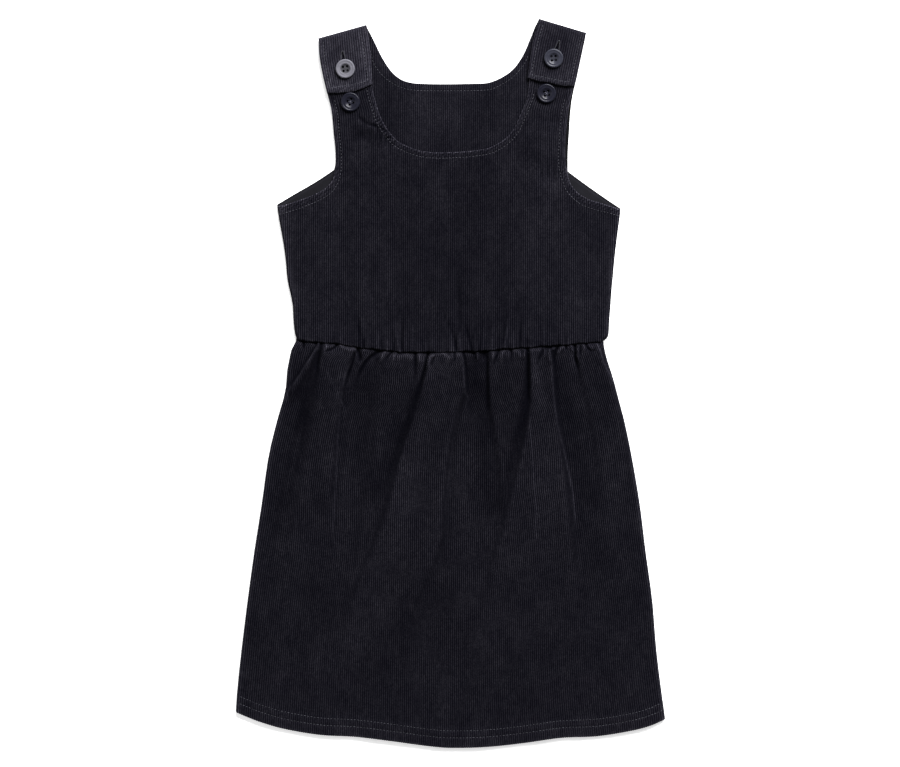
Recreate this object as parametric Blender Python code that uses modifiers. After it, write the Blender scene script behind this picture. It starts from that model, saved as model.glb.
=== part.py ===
"""A child's pinafore dress in fine needlecord, lying flat on its back.

Lengths are metres. X runs across the dress, Y runs from the hem to the shoulders
and Z is up, away from the table. Each cut piece of cloth is one sheet of faces,
shaped by the tables below and given its wall by Solidify. The tables give the side
of the cloth that shows, so every wall grows inward from there.
"""

import bisect
import math

import bmesh
import bpy
from mathutils import Matrix, Vector

# Cloth
SKIRT_WALL = 0.0012
HEM_WALL = 0.0019  # Where the hem is turned up inside
HEM_DEPTH = 0.0155
BODICE_WALL = 0.0015  # Cloth and facing together
BACK_WALL = 0.0013
FACING_WALL = 0.0010
SEAM_GAP = 0.0005  # Between two pieces that are sewn together

# Side seams, where the cloth rolls round from the front to the back
SIDE_ROLL = 0.0022
FRONT_EDGE_HEIGHT = 0.0023
BACK_EDGE_HEIGHT = 0.0019
SEAM_STRIP = 0.0004
ROLL_TURNS = (-1, 0, 30, 60)  # Degrees; -1 is the end of the upright strip

# Layers of the shoulder, from the table up
FACING_TOP = 0.0026
STRAP_TOP = 0.0044
TAB_TOP = 0.0060

# Buttons
BUTTON_LIFT = 0.0003
BUTTON_STEPS = 28
HOLE_RADIUS = 0.0011
HOLE_SPREAD = 0.0019  # From the middle to each hole, along X and along Y
BUTTONHOLE_WIDTH = 0.0009

# Side edges of the skirt: height, left edge, right edge
SKIRT_SIDES = (
    (-0.3066, -0.1808, 0.1817),
    (-0.2814, -0.1802, 0.1800),
    (-0.2579, -0.1788, 0.1768),
    (-0.2226, -0.1751, 0.1726),
    (-0.1823, -0.1701, 0.1693),
    (-0.1420, -0.1646, 0.1638),
    (-0.1016, -0.1583, 0.1588),
    (-0.0613, -0.1525, 0.1520),
    (-0.0311, -0.1453, 0.1457),
    (-0.0109, -0.1394, 0.1403),
    (-0.0008, -0.1376, 0.1378),
    (0.0092, -0.1371, 0.1348),
    (0.0193, -0.1352, 0.1315),
    (0.0277, -0.1334, 0.1294),
    (0.0353, -0.1294, 0.1281),
)

# Side edges of the bodice: height, left edge, right edge
BODICE_SIDES = (
    (0.0355, -0.1268, 0.1281),
    (0.0412, -0.1289, 0.1310),
    (0.0479, -0.1312, 0.1325),
    (0.0563, -0.1320, 0.1336),
    (0.0647, -0.1323, 0.1344),
    (0.0748, -0.1342, 0.1350),
    (0.0865, -0.1368, 0.1361),
    (0.1000, -0.1380, 0.1373),
    (0.1134, -0.1396, 0.1387),
    (0.1268, -0.1419, 0.1404),
    (0.1386, -0.1441, 0.1420),
    (0.1495, -0.1455, 0.1432),
)

# Waist seam: across, height
WAIST = (
    (-0.1281, 0.0365),
    (-0.1007, 0.0339),
    (-0.0748, 0.0302),
    (-0.0452, 0.0270),
    (-0.0206, 0.0263),
    (0.0113, 0.0269),
    (0.0357, 0.0283),
    (0.0606, 0.0302),
    (0.0853, 0.0318),
    (0.1096, 0.0339),
    (0.1281, 0.0347),
)

# Hem edge: share across, height
HEM = (
    (0.000, -0.2764),
    (0.028, -0.2806),
    (0.055, -0.2843),
    (0.110, -0.2901),
    (0.195, -0.2953),
    (0.280, -0.2971),
    (0.363, -0.3007),
    (0.447, -0.3048),
    (0.500, -0.3063),
    (0.588, -0.3054),
    (0.672, -0.3021),
    (0.756, -0.2979),
    (0.840, -0.2965),
    (0.924, -0.2916),
    (0.965, -0.2876),
    (1.000, -0.2824),
)

# How high the front of the skirt stands: distance below the waist, height
SKIRT_RISE = (
    (0.000, 0.0064),
    (0.006, 0.0071),
    (0.016, 0.0076),
    (0.040, 0.0070),
    (0.090, 0.0058),
    (0.160, 0.0048),
    (0.230, 0.0044),
    (0.340, 0.0045),
)
SKIRT_FLOOR = 0.0036

# How high the front of the bodice stands: distance above the waist, height
BODICE_RISE = (
    (0.000, 0.0066),
    (0.004, 0.0064),
    (0.012, 0.0057),
    (0.028, 0.0050),
    (0.060, 0.0046),
    (0.120, 0.0044),
    (0.300, 0.0044),
)

# Gathers sewn into the waist: share across, height, length they run down
GATHERS = (
    (0.021, 0.0008, 0.012),
    (0.046, 0.0009, 0.014),
    (0.074, 0.0010, 0.016),
    (0.088, 0.0008, 0.010),
    (0.105, 0.0009, 0.012),
    (0.124, 0.0010, 0.014),
    (0.142, 0.0008, 0.012),
    (0.163, 0.0010, 0.014),
    (0.188, 0.0011, 0.016),
    (0.216, 0.0010, 0.014),
    (0.237, 0.0008, 0.012),
    (0.261, 0.0009, 0.014),
    (0.288, 0.0010, 0.016),
    (0.317, 0.0011, 0.018),
    (0.340, 0.0009, 0.012),
    (0.361, 0.0009, 0.012),
    (0.381, 0.0008, 0.010),
    (0.402, 0.0008, 0.012),
    (0.441, 0.0007, 0.018),
    (0.471, 0.0005, 0.010),
    (0.503, 0.0005, 0.012),
    (0.539, 0.0008, 0.018),
    (0.569, 0.0007, 0.012),
    (0.598, 0.0006, 0.012),
    (0.632, 0.0009, 0.018),
    (0.654, 0.0009, 0.012),
    (0.680, 0.0010, 0.014),
    (0.711, 0.0010, 0.016),
    (0.732, 0.0008, 0.012),
    (0.765, 0.0008, 0.016),
    (0.794, 0.0006, 0.012),
    (0.824, 0.0010, 0.018),
    (0.859, 0.0009, 0.014),
    (0.882, 0.0009, 0.012),
    (0.905, 0.0008, 0.012),
    (0.936, 0.0010, 0.014),
    (0.961, 0.0008, 0.012),
    (0.984, 0.0009, 0.014),
)

# Long folds of the skirt: rise, width to the left, width to the right,
# then the line of the fold from its low end up, as height and across
FOLDS = (
    # Left edge crease and the trough beside it
    (0.0019, 0.004, 0.009, (
        (-0.0126, -0.1373), (-0.0008, -0.1323), (0.0160, -0.1214), (0.0344, -0.1100),
    )),
    (-0.0012, 0.003, 0.004, (
        (-0.0076, -0.1155), (0.0176, -0.1121), (0.0344, -0.1088),
    )),
    # Crease between the edge and the main trough, and its lower half
    (0.0016, 0.005, 0.007, (
        (-0.0294, -0.0999), (0.0025, -0.0898), (0.0185, -0.0848), (0.0344, -0.0802),
    )),
    (0.0012, 0.008, 0.006, (
        (-0.1168, -0.0990), (-0.0764, -0.0948), (-0.0580, -0.0962), (-0.0378, -0.0938),
    )),
    (-0.0016, 0.005, 0.005, (
        (-0.0361, -0.0903), (0.0062, -0.0777), (0.0185, -0.0696), (0.0344, -0.0584),
    )),
    (-0.0010, 0.003, 0.003, (
        (-0.0092, -0.0315), (0.0042, -0.0298), (0.0344, -0.0298),
    )),
    # Main trough, with the ridge on its right
    (-0.0022, 0.007, 0.004, (
        (-0.1058, -0.0668), (-0.0714, -0.0567), (-0.0395, -0.0424),
        (0.0109, -0.0223), (0.0344, -0.0197),
    )),
    (0.0018, 0.003, 0.014, (
        (-0.1067, -0.0626), (-0.0731, -0.0517), (-0.0412, -0.0374),
        (0.0109, -0.0181), (0.0344, -0.0147),
    )),
    # Middle ridge, trough and flat
    (0.0020, 0.012, 0.003, (
        (-0.0210, 0.0181), (-0.0101, 0.0124), (0.0109, 0.0119), (0.0344, 0.0097),
    )),
    (-0.0024, 0.006, 0.006, (
        (-0.0630, 0.0248), (-0.0378, 0.0256), (0.0042, 0.0214), (0.0344, 0.0206),
    )),
    (-0.0008, 0.007, 0.007, (
        (-0.1344, 0.0164), (-0.0983, 0.0206), (-0.0563, 0.0248),
    )),
    (0.0010, 0.003, 0.010, (
        (-0.0983, 0.0323), (-0.0311, 0.0323), (0.0344, 0.0321),
    )),
    # Right side
    (-0.0014, 0.004, 0.003, (
        (-0.0462, 0.0657), (-0.0143, 0.0643), (0.0344, 0.0643),
    )),
    (0.0010, 0.004, 0.009, (
        (-0.1344, 0.0710), (-0.0974, 0.0685), (-0.0269, 0.0662), (0.0025, 0.0676),
    )),
    (0.0016, 0.012, 0.004, (
        (-0.1344, 0.1068), (-0.0655, 0.0962), (0.0000, 0.0869), (0.0344, 0.0830),
    )),
    (-0.0012, 0.005, 0.005, (
        (-0.0605, 0.1037), (-0.0353, 0.0995), (0.0025, 0.0945), (0.0344, 0.0928),
    )),
    (-0.0013, 0.004, 0.004, (
        (-0.0059, 0.1155), (0.0109, 0.1088), (0.0344, 0.1029),
    )),
    (0.0014, 0.006, 0.003, (
        (-0.0109, 0.1399), (0.0008, 0.1368), (0.0151, 0.1300), (0.0344, 0.1239),
    )),
    # Lower skirt
    (0.0010, 0.009, 0.009, (
        (-0.1176, -0.1357), (-0.0949, -0.1285), (-0.0521, -0.1155),
    )),
    (0.0020, 0.016, 0.022, (
        (-0.2327, -0.1054), (-0.2008, -0.0794), (-0.1294, -0.0475), (-0.0664, -0.0307),
    )),
    (0.0008, 0.009, 0.009, (
        (-0.1386, -0.0088), (-0.1042, -0.0041), (-0.0479, 0.0021),
    )),
    (-0.0008, 0.011, 0.011, (
        (-0.1067, 0.0365), (-0.0857, 0.0416), (-0.0605, 0.0483),
    )),
)
FOLD_FADE = 0.025

# Puckers drawn up by the waist seam: across, rise, width, length up the bodice
PUCKERS = (
    (-0.0760, 0.0010, 0.007, 0.026),
    (-0.0391, 0.0008, 0.006, 0.014),
    (-0.0147, 0.0008, 0.006, 0.016),
    (0.0155, -0.0008, 0.006, 0.018),
    (0.0256, 0.0009, 0.007, 0.020),
    (0.0700, 0.0006, 0.008, 0.014),
)

# Edges of the front bodice: across, height
FRONT_ARMHOLE_LEFT = (
    (-0.1455, 0.1483),
    (-0.1390, 0.1495),
    (-0.1302, 0.1524),
    (-0.1194, 0.1562),
    (-0.1109, 0.1601),
    (-0.1046, 0.1639),
    (-0.1002, 0.1687),
    (-0.0979, 0.1734),
)
FRONT_ARMHOLE_RIGHT = (
    (0.0987, 0.1739),
    (0.1000, 0.1693),
    (0.1027, 0.1644),
    (0.1070, 0.1596),
    (0.1160, 0.1543),
    (0.1242, 0.1518),
    (0.1327, 0.1491),
    (0.1432, 0.1453),
)
FRONT_NECK = (
    (-0.0603, 0.2275),
    (-0.0571, 0.2201),
    (-0.0533, 0.2134),
    (-0.0487, 0.2075),
    (-0.0438, 0.2027),
    (-0.0344, 0.1980),
    (-0.0249, 0.1949),
    (-0.0108, 0.1935),
    (0.0034, 0.1939),
    (0.0175, 0.1949),
    (0.0317, 0.1972),
    (0.0411, 0.2016),
    (0.0462, 0.2054),
    (0.0505, 0.2097),
    (0.0544, 0.2155),
    (0.0575, 0.2226),
    (0.0601, 0.2285),
)

# Edges of the front straps: height, across
FRONT_STRAPS = (
    # Left strap, outer edge
    ((0.1734, -0.0979), (0.1806, -0.0966), (0.1957, -0.0966), (0.2083, -0.0979),
     (0.2293, -0.1000), (0.2419, -0.1031), (0.2579, -0.1067), (0.2780, -0.1092)),
    # Left strap, inner edge
    ((0.2275, -0.0603), (0.2352, -0.0626), (0.2436, -0.0648), (0.2629, -0.0675),
     (0.2848, -0.0703)),
    # Right strap, inner edge
    ((0.2285, 0.0601), (0.2345, 0.0623), (0.2415, 0.0648), (0.2612, 0.0668),
     (0.2881, 0.0697)),
    # Right strap, outer edge
    ((0.1739, 0.0987), (0.1831, 0.0983), (0.2125, 0.0991), (0.2243, 0.1001),
     (0.2402, 0.1021), (0.2545, 0.1046), (0.2814, 0.1092)),
)

# Edges of the back bodice: across, height
BACK_ARMHOLE_LEFT = ((-0.1455, 0.1499), (-0.1302, 0.1590), (-0.1130, 0.1690), (-0.0977, 0.1791))
BACK_ARMHOLE_RIGHT = ((0.0985, 0.1777), (0.1134, 0.1667), (0.1306, 0.1546), (0.1432, 0.1462))
BACK_NECK = (
    (-0.0626, 0.2839),
    (-0.0596, 0.2776),
    (-0.0567, 0.2722),
    (-0.0528, 0.2659),
    (-0.0485, 0.2604),
    (-0.0441, 0.2566),
    (-0.0391, 0.2538),
    (-0.0297, 0.2517),
    (-0.0060, 0.2510),
    (0.0270, 0.2516),
    (0.0323, 0.2523),
    (0.0387, 0.2545),
    (0.0449, 0.2577),
    (0.0505, 0.2616),
    (0.0554, 0.2667),
    (0.0599, 0.2734),
    (0.0632, 0.2797),
    (0.0659, 0.2864),
)

# Edges of the back straps up to the shoulder fold: height, across
BACK_STRAPS = (
    # Left strap, outer edge
    ((0.1791, -0.0977), (0.1873, -0.0959), (0.1957, -0.0959), (0.2083, -0.0972),
     (0.2293, -0.0993), (0.2419, -0.1024), (0.2629, -0.1084), (0.2780, -0.1110),
     (0.2894, -0.1112)),
    # Left strap, inner edge
    ((0.2839, -0.0626), (0.2890, -0.0649), (0.2940, -0.0672), (0.3007, -0.0706)),
    # Right strap, inner edge
    ((0.2864, 0.0659), (0.2927, 0.0683), (0.2990, 0.0706), (0.3059, 0.0741)),
    # Right strap, outer edge
    ((0.1777, 0.0985), (0.1873, 0.0976), (0.1957, 0.0977), (0.2125, 0.0985),
     (0.2243, 0.0995), (0.2402, 0.1014), (0.2587, 0.1063), (0.2814, 0.1113),
     (0.2940, 0.1141)),
)

# Edges of the tabs, which are the strap ends folded over: height, across
TABS = (
    ((0.2432, -0.1029), (0.2579, -0.1073), (0.2747, -0.1105), (0.2894, -0.1112)),
    ((0.2528, -0.0654), (0.2713, -0.0668), (0.2831, -0.0680), (0.3007, -0.0706)),
    ((0.2558, 0.0646), (0.2696, 0.0664), (0.2864, 0.0689), (0.3059, 0.0741)),
    ((0.2495, 0.1047), (0.2654, 0.1079), (0.2814, 0.1113), (0.2940, 0.1141)),
)

# Outer ends of the neck facing, under the straps: across, top, bottom
FACING_ENDS = ((-0.0760, 0.2825, 0.2380), (0.0800, 0.2850, 0.2400))
FACING_LOW = 0.1790  # Its lower edge at the middle

# Buttons: name, across, height, what each lies on, turn of the four holes in degrees
BUTTONS = (
    ("button_upper_left", -0.0883, 0.2637, TAB_TOP, 8),
    ("button_lower_left", -0.0840, 0.2359, STRAP_TOP, 30),
    ("button_upper_right", 0.0866, 0.2725, TAB_TOP, 5),
    ("button_lower_right", 0.0806, 0.2431, STRAP_TOP, 12),
)

# Half outline of a button: radius, height
BUTTON_PROFILE = (
    (0.0000, 0.0000),
    (0.0070, 0.0000),
    (0.0081, 0.0009),
    (0.0081, 0.0016),
    (0.0076, 0.0024),
    (0.0068, 0.0026),
    (0.0060, 0.0022),
    (0.0054, 0.0016),
    (0.0000, 0.0014),
)

# Buttonholes in the tabs: upper end and lower end, across and height
BUTTONHOLES = (((-0.0908, 0.2795), (-0.0878, 0.2610)), ((0.0904, 0.2875), (0.0861, 0.2700)))

# Rows of faces, as shares of the way from the waist
FRONT_SKIRT_ROWS = (
    0.0, 0.009, 0.022, 0.040, 0.065, 0.096, 0.134, 0.180, 0.236, 0.305, 0.39, 0.49, 0.60, 0.71, 0.82, 0.92,
)
BACK_SKIRT_ROWS = (0.0, 0.015, 0.045, 0.10, 0.20, 0.36, 0.56, 0.76, 0.90)
FRONT_BODICE_ROWS = (0.0, 0.025, 0.06, 0.11, 0.18, 0.30, 0.46, 0.64, 0.82, 1.0)
BACK_BODICE_ROWS = (0.0, 0.05, 0.15, 0.32, 0.55, 0.78, 1.0)

# Colours, linear
NAVY_CLOTH = (0.0125, 0.0120, 0.0180, 1.0)
INSIDE_CLOTH = (0.0160, 0.0155, 0.0210, 1.0)
NAVY_BUTTON = (0.0110, 0.0125, 0.0220, 1.0)
GREY_BUTTON = (0.0300, 0.0310, 0.0360, 1.0)


def read(table, at, column=1):
    """The value of one column of a table, smoothed between its rows."""
    keys = [row[0] for row in table]
    if at <= keys[0]:
        return table[0][column]
    if at >= keys[-1]:
        return table[-1][column]
    low = bisect.bisect_right(keys, at) - 1

    def slope(row):
        before = max(row - 1, 0)
        after = min(row + 1, len(keys) - 1)
        return (table[after][column] - table[before][column]) / (keys[after] - keys[before])

    width = keys[low + 1] - keys[low]
    t = (at - keys[low]) / width
    start = table[low][column]
    end = table[low + 1][column]
    bend = t * (1 - t)
    value = start + (end - start) * t * t * (3 - 2 * t)
    return value + bend * width * ((1 - t) * slope(low) - t * slope(low + 1))


def between(start, end, share):
    return start + (end - start) * share


def ease(share):
    share = min(max(share, 0.0), 1.0)
    return share * share * (3 - 2 * share)


def sheet(cloth, across, up, place):
    """Adds a grid of cells to the cloth, with its corners at place(column, row)."""
    made = bmesh.ops.create_grid(cloth, x_segments=across, y_segments=up, size=1.0)
    for corner in made["verts"]:
        column = round((corner.co.x + 1) / 2 * across)
        row = round((corner.co.y + 1) / 2 * up)
        corner.co = place(column, row)


def material(name, colour, roughness):
    made = bpy.data.materials.new(name)
    made.use_nodes = True
    shader = made.node_tree.nodes["Principled BSDF"]
    shader.inputs["Base Color"].default_value = colour
    shader.inputs["Roughness"].default_value = roughness
    made.diffuse_color = colour
    return made


def node(name, cloth, collection, colour, roughness=0.9):
    """One named object from a bmesh."""
    mesh = bpy.data.meshes.new(name)
    cloth.to_mesh(mesh)
    cloth.free()
    made = bpy.data.objects.new(name, mesh)
    mesh.materials.append(material(name, colour, roughness))
    collection.objects.link(made)
    return made


def wall(made, thickness):
    """Gives a sheet its thickness, on the side away from the one that shows."""
    solid = made.modifiers.new("Wall", "SOLIDIFY")
    solid.thickness = thickness
    solid.offset = -1.0
    solid.use_even_offset = False
    return solid


def gather_wave(share, down, mirrored=False):
    """1 on the crest of each gather and -1 between two, times its height."""
    if mirrored:
        share = 1 - share
    crests = [row[0] for row in GATHERS]
    after = bisect.bisect_right(crests, share)
    left = crests[after - 1] if after > 0 else -crests[0]
    right = crests[after] if after < len(crests) else 2 - crests[-1]
    nearest = min(max(after - (0 if right - share < share - left else 1), 0), len(crests) - 1)
    height, length = GATHERS[nearest][1:]
    wave = math.cos(2 * math.pi * (share - left) / (right - left))
    return wave * height / 2 * math.exp(-down / length)


def fold_rise(x, y, down):
    """How much the long folds lift or sink the front of the skirt here."""
    total = 0.0
    for rise, left_width, right_width, line in FOLDS:
        low = line[0][0]
        high = line[-1][0]
        aside = x - read(line, y)
        width = right_width if aside > 0 else left_width
        across = max(0.0, 1 - (aside / width) ** 2) ** 2
        ends = ease((y - low) / FOLD_FADE + 0.5)
        if high < 0.03:
            ends *= ease((high - y) / FOLD_FADE + 0.5)
        total += rise * across * ends
    return total * (0.4 + 0.6 * ease(down / 0.012))


def rolled(column, left, right, height, front):
    """X and Z of a column of faces in a panel that rolls round at both side seams.

    A column is its share across and, in the roll itself, how far round it is.
    """
    share, turn = column
    edge = FRONT_EDGE_HEIGHT if front else BACK_EDGE_HEIGHT
    radius = SIDE_ROLL + 0.6 * max(0.0, height - 0.0046)
    if turn is None:
        return between(left + radius, right - radius, share), height
    strip = edge + SEAM_STRIP if front else edge - SEAM_STRIP
    angle = math.radians(max(turn, 0))
    z = edge if turn < 0 else between(strip, height, math.sin(angle))
    inset = radius * (1 - math.cos(angle))
    x = left + inset if share < 0.5 else right - inset
    return x, z


def skirt_columns():
    """The rolls at the sides, then a column on each gather and one between each two."""
    flat = [0.0]
    crests = [row[0] for row in GATHERS]
    for crest, following in zip(crests, crests[1:]):
        flat.append(crest)
        flat.append((crest + following) / 2)
    flat.append(crests[-1])
    flat.append(1.0)
    left = [(0.0, turn) for turn in ROLL_TURNS]
    right = [(1.0, turn) for turn in reversed(ROLL_TURNS)]
    return left + [(share, None) for share in flat] + right


def skirt_point(column, row, front):
    """A point on the side of the skirt that shows; row is the share down."""
    share = column[0]
    top = read(WAIST, between(-0.129, 0.128, share))
    for _ in range(3):
        top_x = between(read(SKIRT_SIDES, top, 1), read(SKIRT_SIDES, top, 2), share)
        top = read(WAIST, top_x) - SEAM_GAP
    y = between(top, read(HEM, share), row)
    left = read(SKIRT_SIDES, y, 1)
    right = read(SKIRT_SIDES, y, 2)
    down = top - y
    if front:
        x = between(left, right, share)
        height = read(SKIRT_RISE, down) + gather_wave(share, down) + fold_rise(x, y, down)
        height = max(height, SKIRT_FLOOR)
    else:
        edges = ease(min(share, 1 - share) / 0.02)
        crest = gather_wave(share, down, mirrored=True)
        height = edges * (0.00055 * math.exp(-down / 0.014) - crest)
        height = max(height, 0.0)
    x, z = rolled(column, left, right, height, front)
    return Vector((x, y, z))


def make_skirt(name, rows, front, collection):
    columns = skirt_columns()
    length = read(WAIST, 0.0) - read(HEM, 0.5)
    band = 1 - HEM_DEPTH / length
    rows = [*rows, band - 0.003, band, 1.0]
    rows.reverse()
    cloth = bmesh.new()
    sheet(
        cloth,
        len(columns) - 1,
        len(rows) - 1,
        lambda column, row: skirt_point(columns[column], rows[row], front),
    )
    if not front:
        bmesh.ops.reverse_faces(cloth, faces=cloth.faces)
    hem = [corner.index for corner in cloth.verts if in_hem(corner.co)]
    made = node(name, cloth, collection, NAVY_CLOTH)
    group = made.vertex_groups.new(name="hem")
    group.add(hem, 1.0, "REPLACE")
    solid = wall(made, HEM_WALL)
    solid.vertex_group = "hem"
    solid.thickness_vertex_group = SKIRT_WALL / HEM_WALL
    return made


def in_hem(point):
    """Whether a point lies on the turned-up hem, clear of the side seams."""
    left = read(SKIRT_SIDES, point.y, 1)
    right = read(SKIRT_SIDES, point.y, 2)
    share = (point.x - left) / (right - left)
    if not 0.02 < share < 0.98:
        return False
    return point.y - read(HEM, share) < HEM_DEPTH * 1.04


def bodice_columns(strap_cells, middle_cells):
    """Columns as zone, share across the zone and turn round the side roll.

    The zones are the left underarm, left strap, middle, right strap and right underarm.
    """
    columns = [(0, 0.0, turn) for turn in ROLL_TURNS]
    for zone, cells in ((0, 5), (1, strap_cells), (2, middle_cells), (3, strap_cells), (4, 5)):
        first = 0 if zone == 0 else 1
        columns += [(zone, step / cells, None) for step in range(first, cells + 1)]
    columns += [(4, 1.0, turn) for turn in reversed(ROLL_TURNS)]
    return columns


def bodice_point(column, up, edges, front):
    """A point of the bodice below its neck and armholes; up is the share of the way."""
    arm_left, neck, arm_right = edges
    zone, share, turn = column
    marks = (arm_left[-1][0], neck[0][0], neck[-1][0], arm_right[0][0])

    def x_at(y):
        left = read(BODICE_SIDES, y, 1) + (SIDE_ROLL if turn is None else 0)
        right = read(BODICE_SIDES, y, 2) - (SIDE_ROLL if turn is None else 0)
        starts = (left, *marks)
        ends = (*marks, right)
        return between(starts[zone], ends[zone], share)

    high = x_at(0.15)
    if zone == 0:
        top = read(arm_left, high)
    elif zone == 1:
        top = between(arm_left[-1][1], neck[0][1], share)
    elif zone == 2:
        top = read(neck, high)
    elif zone == 3:
        top = between(neck[-1][1], arm_right[0][1], share)
    else:
        top = read(arm_right, high)
    bottom = read(WAIST, x_at(0.035))
    y = between(bottom, top, up)
    x = x_at(y)
    if front:
        above = y - read(WAIST, x)
        height = read(BODICE_RISE, above)
        for middle, rise, width, length in PUCKERS:
            aside = max(0.0, 1 - ((x - middle) / width) ** 2) ** 2
            height += rise * aside * math.exp(-((above / length) ** 2))
    else:
        height = 0.0
    if turn is not None:
        left = read(BODICE_SIDES, y, 1)
        right = read(BODICE_SIDES, y, 2)
        x, height = rolled((zone / 4, turn), left, right, height, front)
    return Vector((x, y, height))


def strap_line(column, edges):
    """Where a strap leaves the body of the bodice."""
    return bodice_point(column, 1.0, edges, True)


def add_bodice(cloth, columns, rows, edges, front):
    sheet(
        cloth,
        len(columns) - 1,
        len(rows) - 1,
        lambda column, row: bodice_point(columns[column], rows[row], edges, front),
    )


def join(cloth):
    bmesh.ops.remove_doubles(cloth, verts=cloth.verts, dist=0.00005)


def make_front_bodice(collection):
    edges = (FRONT_ARMHOLE_LEFT, FRONT_NECK, FRONT_ARMHOLE_RIGHT)
    cells = 5
    rows = 7
    columns = bodice_columns(cells, 20)
    cloth = bmesh.new()
    add_bodice(cloth, columns, FRONT_BODICE_ROWS, edges, True)
    for zone, side in ((1, 0), (3, 2)):
        left_edge = FRONT_STRAPS[side]
        right_edge = FRONT_STRAPS[side + 1]
        end_left = Vector((left_edge[-1][1], left_edge[-1][0], STRAP_TOP))
        end_right = Vector((right_edge[-1][1], right_edge[-1][0], STRAP_TOP))

        def place(column, row):
            share = column / cells
            along = row / rows
            start = strap_line((zone, share, None), edges)
            if row == 0:
                return start
            y = between(start.y, between(end_left, end_right, share).y, along)
            x = between(read(left_edge, y), read(right_edge, y), share)
            return Vector((x, y, between(start.z, STRAP_TOP, along)))

        sheet(cloth, cells, rows, place)
    join(cloth)
    made = node("front_bodice", cloth, collection, NAVY_CLOTH)
    wall(made, BODICE_WALL)
    return made


def make_back_bodice(collection):
    edges = (BACK_ARMHOLE_LEFT, BACK_NECK, BACK_ARMHOLE_RIGHT)
    cells = 5
    strap_rows = 7
    fold_rows = 7
    tab_rows = 5
    radius = TAB_TOP / 2
    columns = bodice_columns(cells, 18)
    cloth = bmesh.new()
    add_bodice(cloth, columns, BACK_BODICE_ROWS, edges, False)
    for zone, side in ((1, 0), (3, 2)):
        strap_left = BACK_STRAPS[side]
        strap_right = BACK_STRAPS[side + 1]
        tab_left = TABS[side]
        tab_right = TABS[side + 1]
        fold_start = Vector((strap_left[-1][1], strap_left[-1][0], 0))
        fold_end = Vector((strap_right[-1][1], strap_right[-1][0], 0))
        crosswise = (fold_end - fold_start).normalized()
        outward = Vector((-crosswise.y, crosswise.x, 0))

        def place(column, row):
            share = column / cells
            start = strap_line((zone, share, None), edges)
            start.z = 0.0
            middle = between(fold_start, fold_end, share) - outward * radius
            if row <= strap_rows:
                along = row / strap_rows
                y = between(start.y, middle.y, along)
                x = between(read(strap_left, y), read(strap_right, y), share)
                off_start = start.x - between(read(strap_left, start.y), read(strap_right, start.y), share)
                off_end = middle.x - between(read(strap_left, middle.y), read(strap_right, middle.y), share)
                return Vector((x + between(off_start, off_end, along), y, 0))
            if row <= strap_rows + fold_rows:
                turn = math.pi * (row - strap_rows) / fold_rows
                lift = Vector((0, 0, radius * (1 - math.cos(turn))))
                return middle + outward * radius * math.sin(turn) + lift
            along = (row - strap_rows - fold_rows) / tab_rows
            low = between(tab_left[0][0], tab_right[0][0], share)
            y = between(middle.y, low, along)
            x = between(read(tab_left, y), read(tab_right, y), share)
            off = middle.x - between(read(tab_left, middle.y), read(tab_right, middle.y), share)
            return Vector((x + off * (1 - along), y, TAB_TOP))

        sheet(cloth, cells, strap_rows + fold_rows + tab_rows, place)
    join(cloth)
    bmesh.ops.reverse_faces(cloth, faces=cloth.faces)
    made = node("back_bodice", cloth, collection, NAVY_CLOTH)
    wall(made, BACK_WALL)
    return made


def make_neck_facing(collection):
    """A bib of cloth on the inside of the back, following its neck edge."""
    left, right = FACING_ENDS
    tops = [(left[0], left[1])]
    tops += [(x, y - SEAM_GAP) for x, y in BACK_NECK]
    tops += [(right[0], right[1])]
    rows = 4

    def place(column, row):
        x, top = tops[column]
        share = (x - left[0]) / (right[0] - left[0])
        dip = math.sin(math.pi * share) ** 0.8
        low = between(between(left[2], right[2], share), FACING_LOW, dip)
        return Vector((x, between(low, top, row / rows), FACING_TOP))

    cloth = bmesh.new()
    sheet(cloth, len(tops) - 1, rows, place)
    made = node("back_neck_facing", cloth, collection, INSIDE_CLOTH)
    wall(made, FACING_WALL)
    return made


def cut(made, cutter, cutters):
    cutters.objects.link(cutter)
    cutter.hide_render = True
    cutter.display_type = "WIRE"
    opening = made.modifiers.new(cutter.name, "BOOLEAN")
    opening.operation = "DIFFERENCE"
    opening.solver = "EXACT"
    opening.object = cutter


def cut_buttonholes(made, cutters):
    for side, ((top_x, top_y), (low_x, low_y)) in zip(("left", "right"), BUTTONHOLES):
        slot = bmesh.new()
        bmesh.ops.create_cube(slot, size=1.0)
        top = Vector((top_x, top_y, TAB_TOP))
        low = Vector((low_x, low_y, TAB_TOP))
        lean = math.atan2(low.x - top.x, top.y - low.y)
        size = Matrix.Diagonal((BUTTONHOLE_WIDTH, (top - low).length, 2 * BACK_WALL + 0.0006, 1))
        middle = Matrix.Translation((top + low) / 2)
        slot.transform(middle @ Matrix.Rotation(lean, 4, "Z") @ size)
        mesh = bpy.data.meshes.new(f"buttonhole_{side}")
        slot.to_mesh(mesh)
        slot.free()
        cut(made, bpy.data.objects.new(f"buttonhole_{side}", mesh), cutters)


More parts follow.
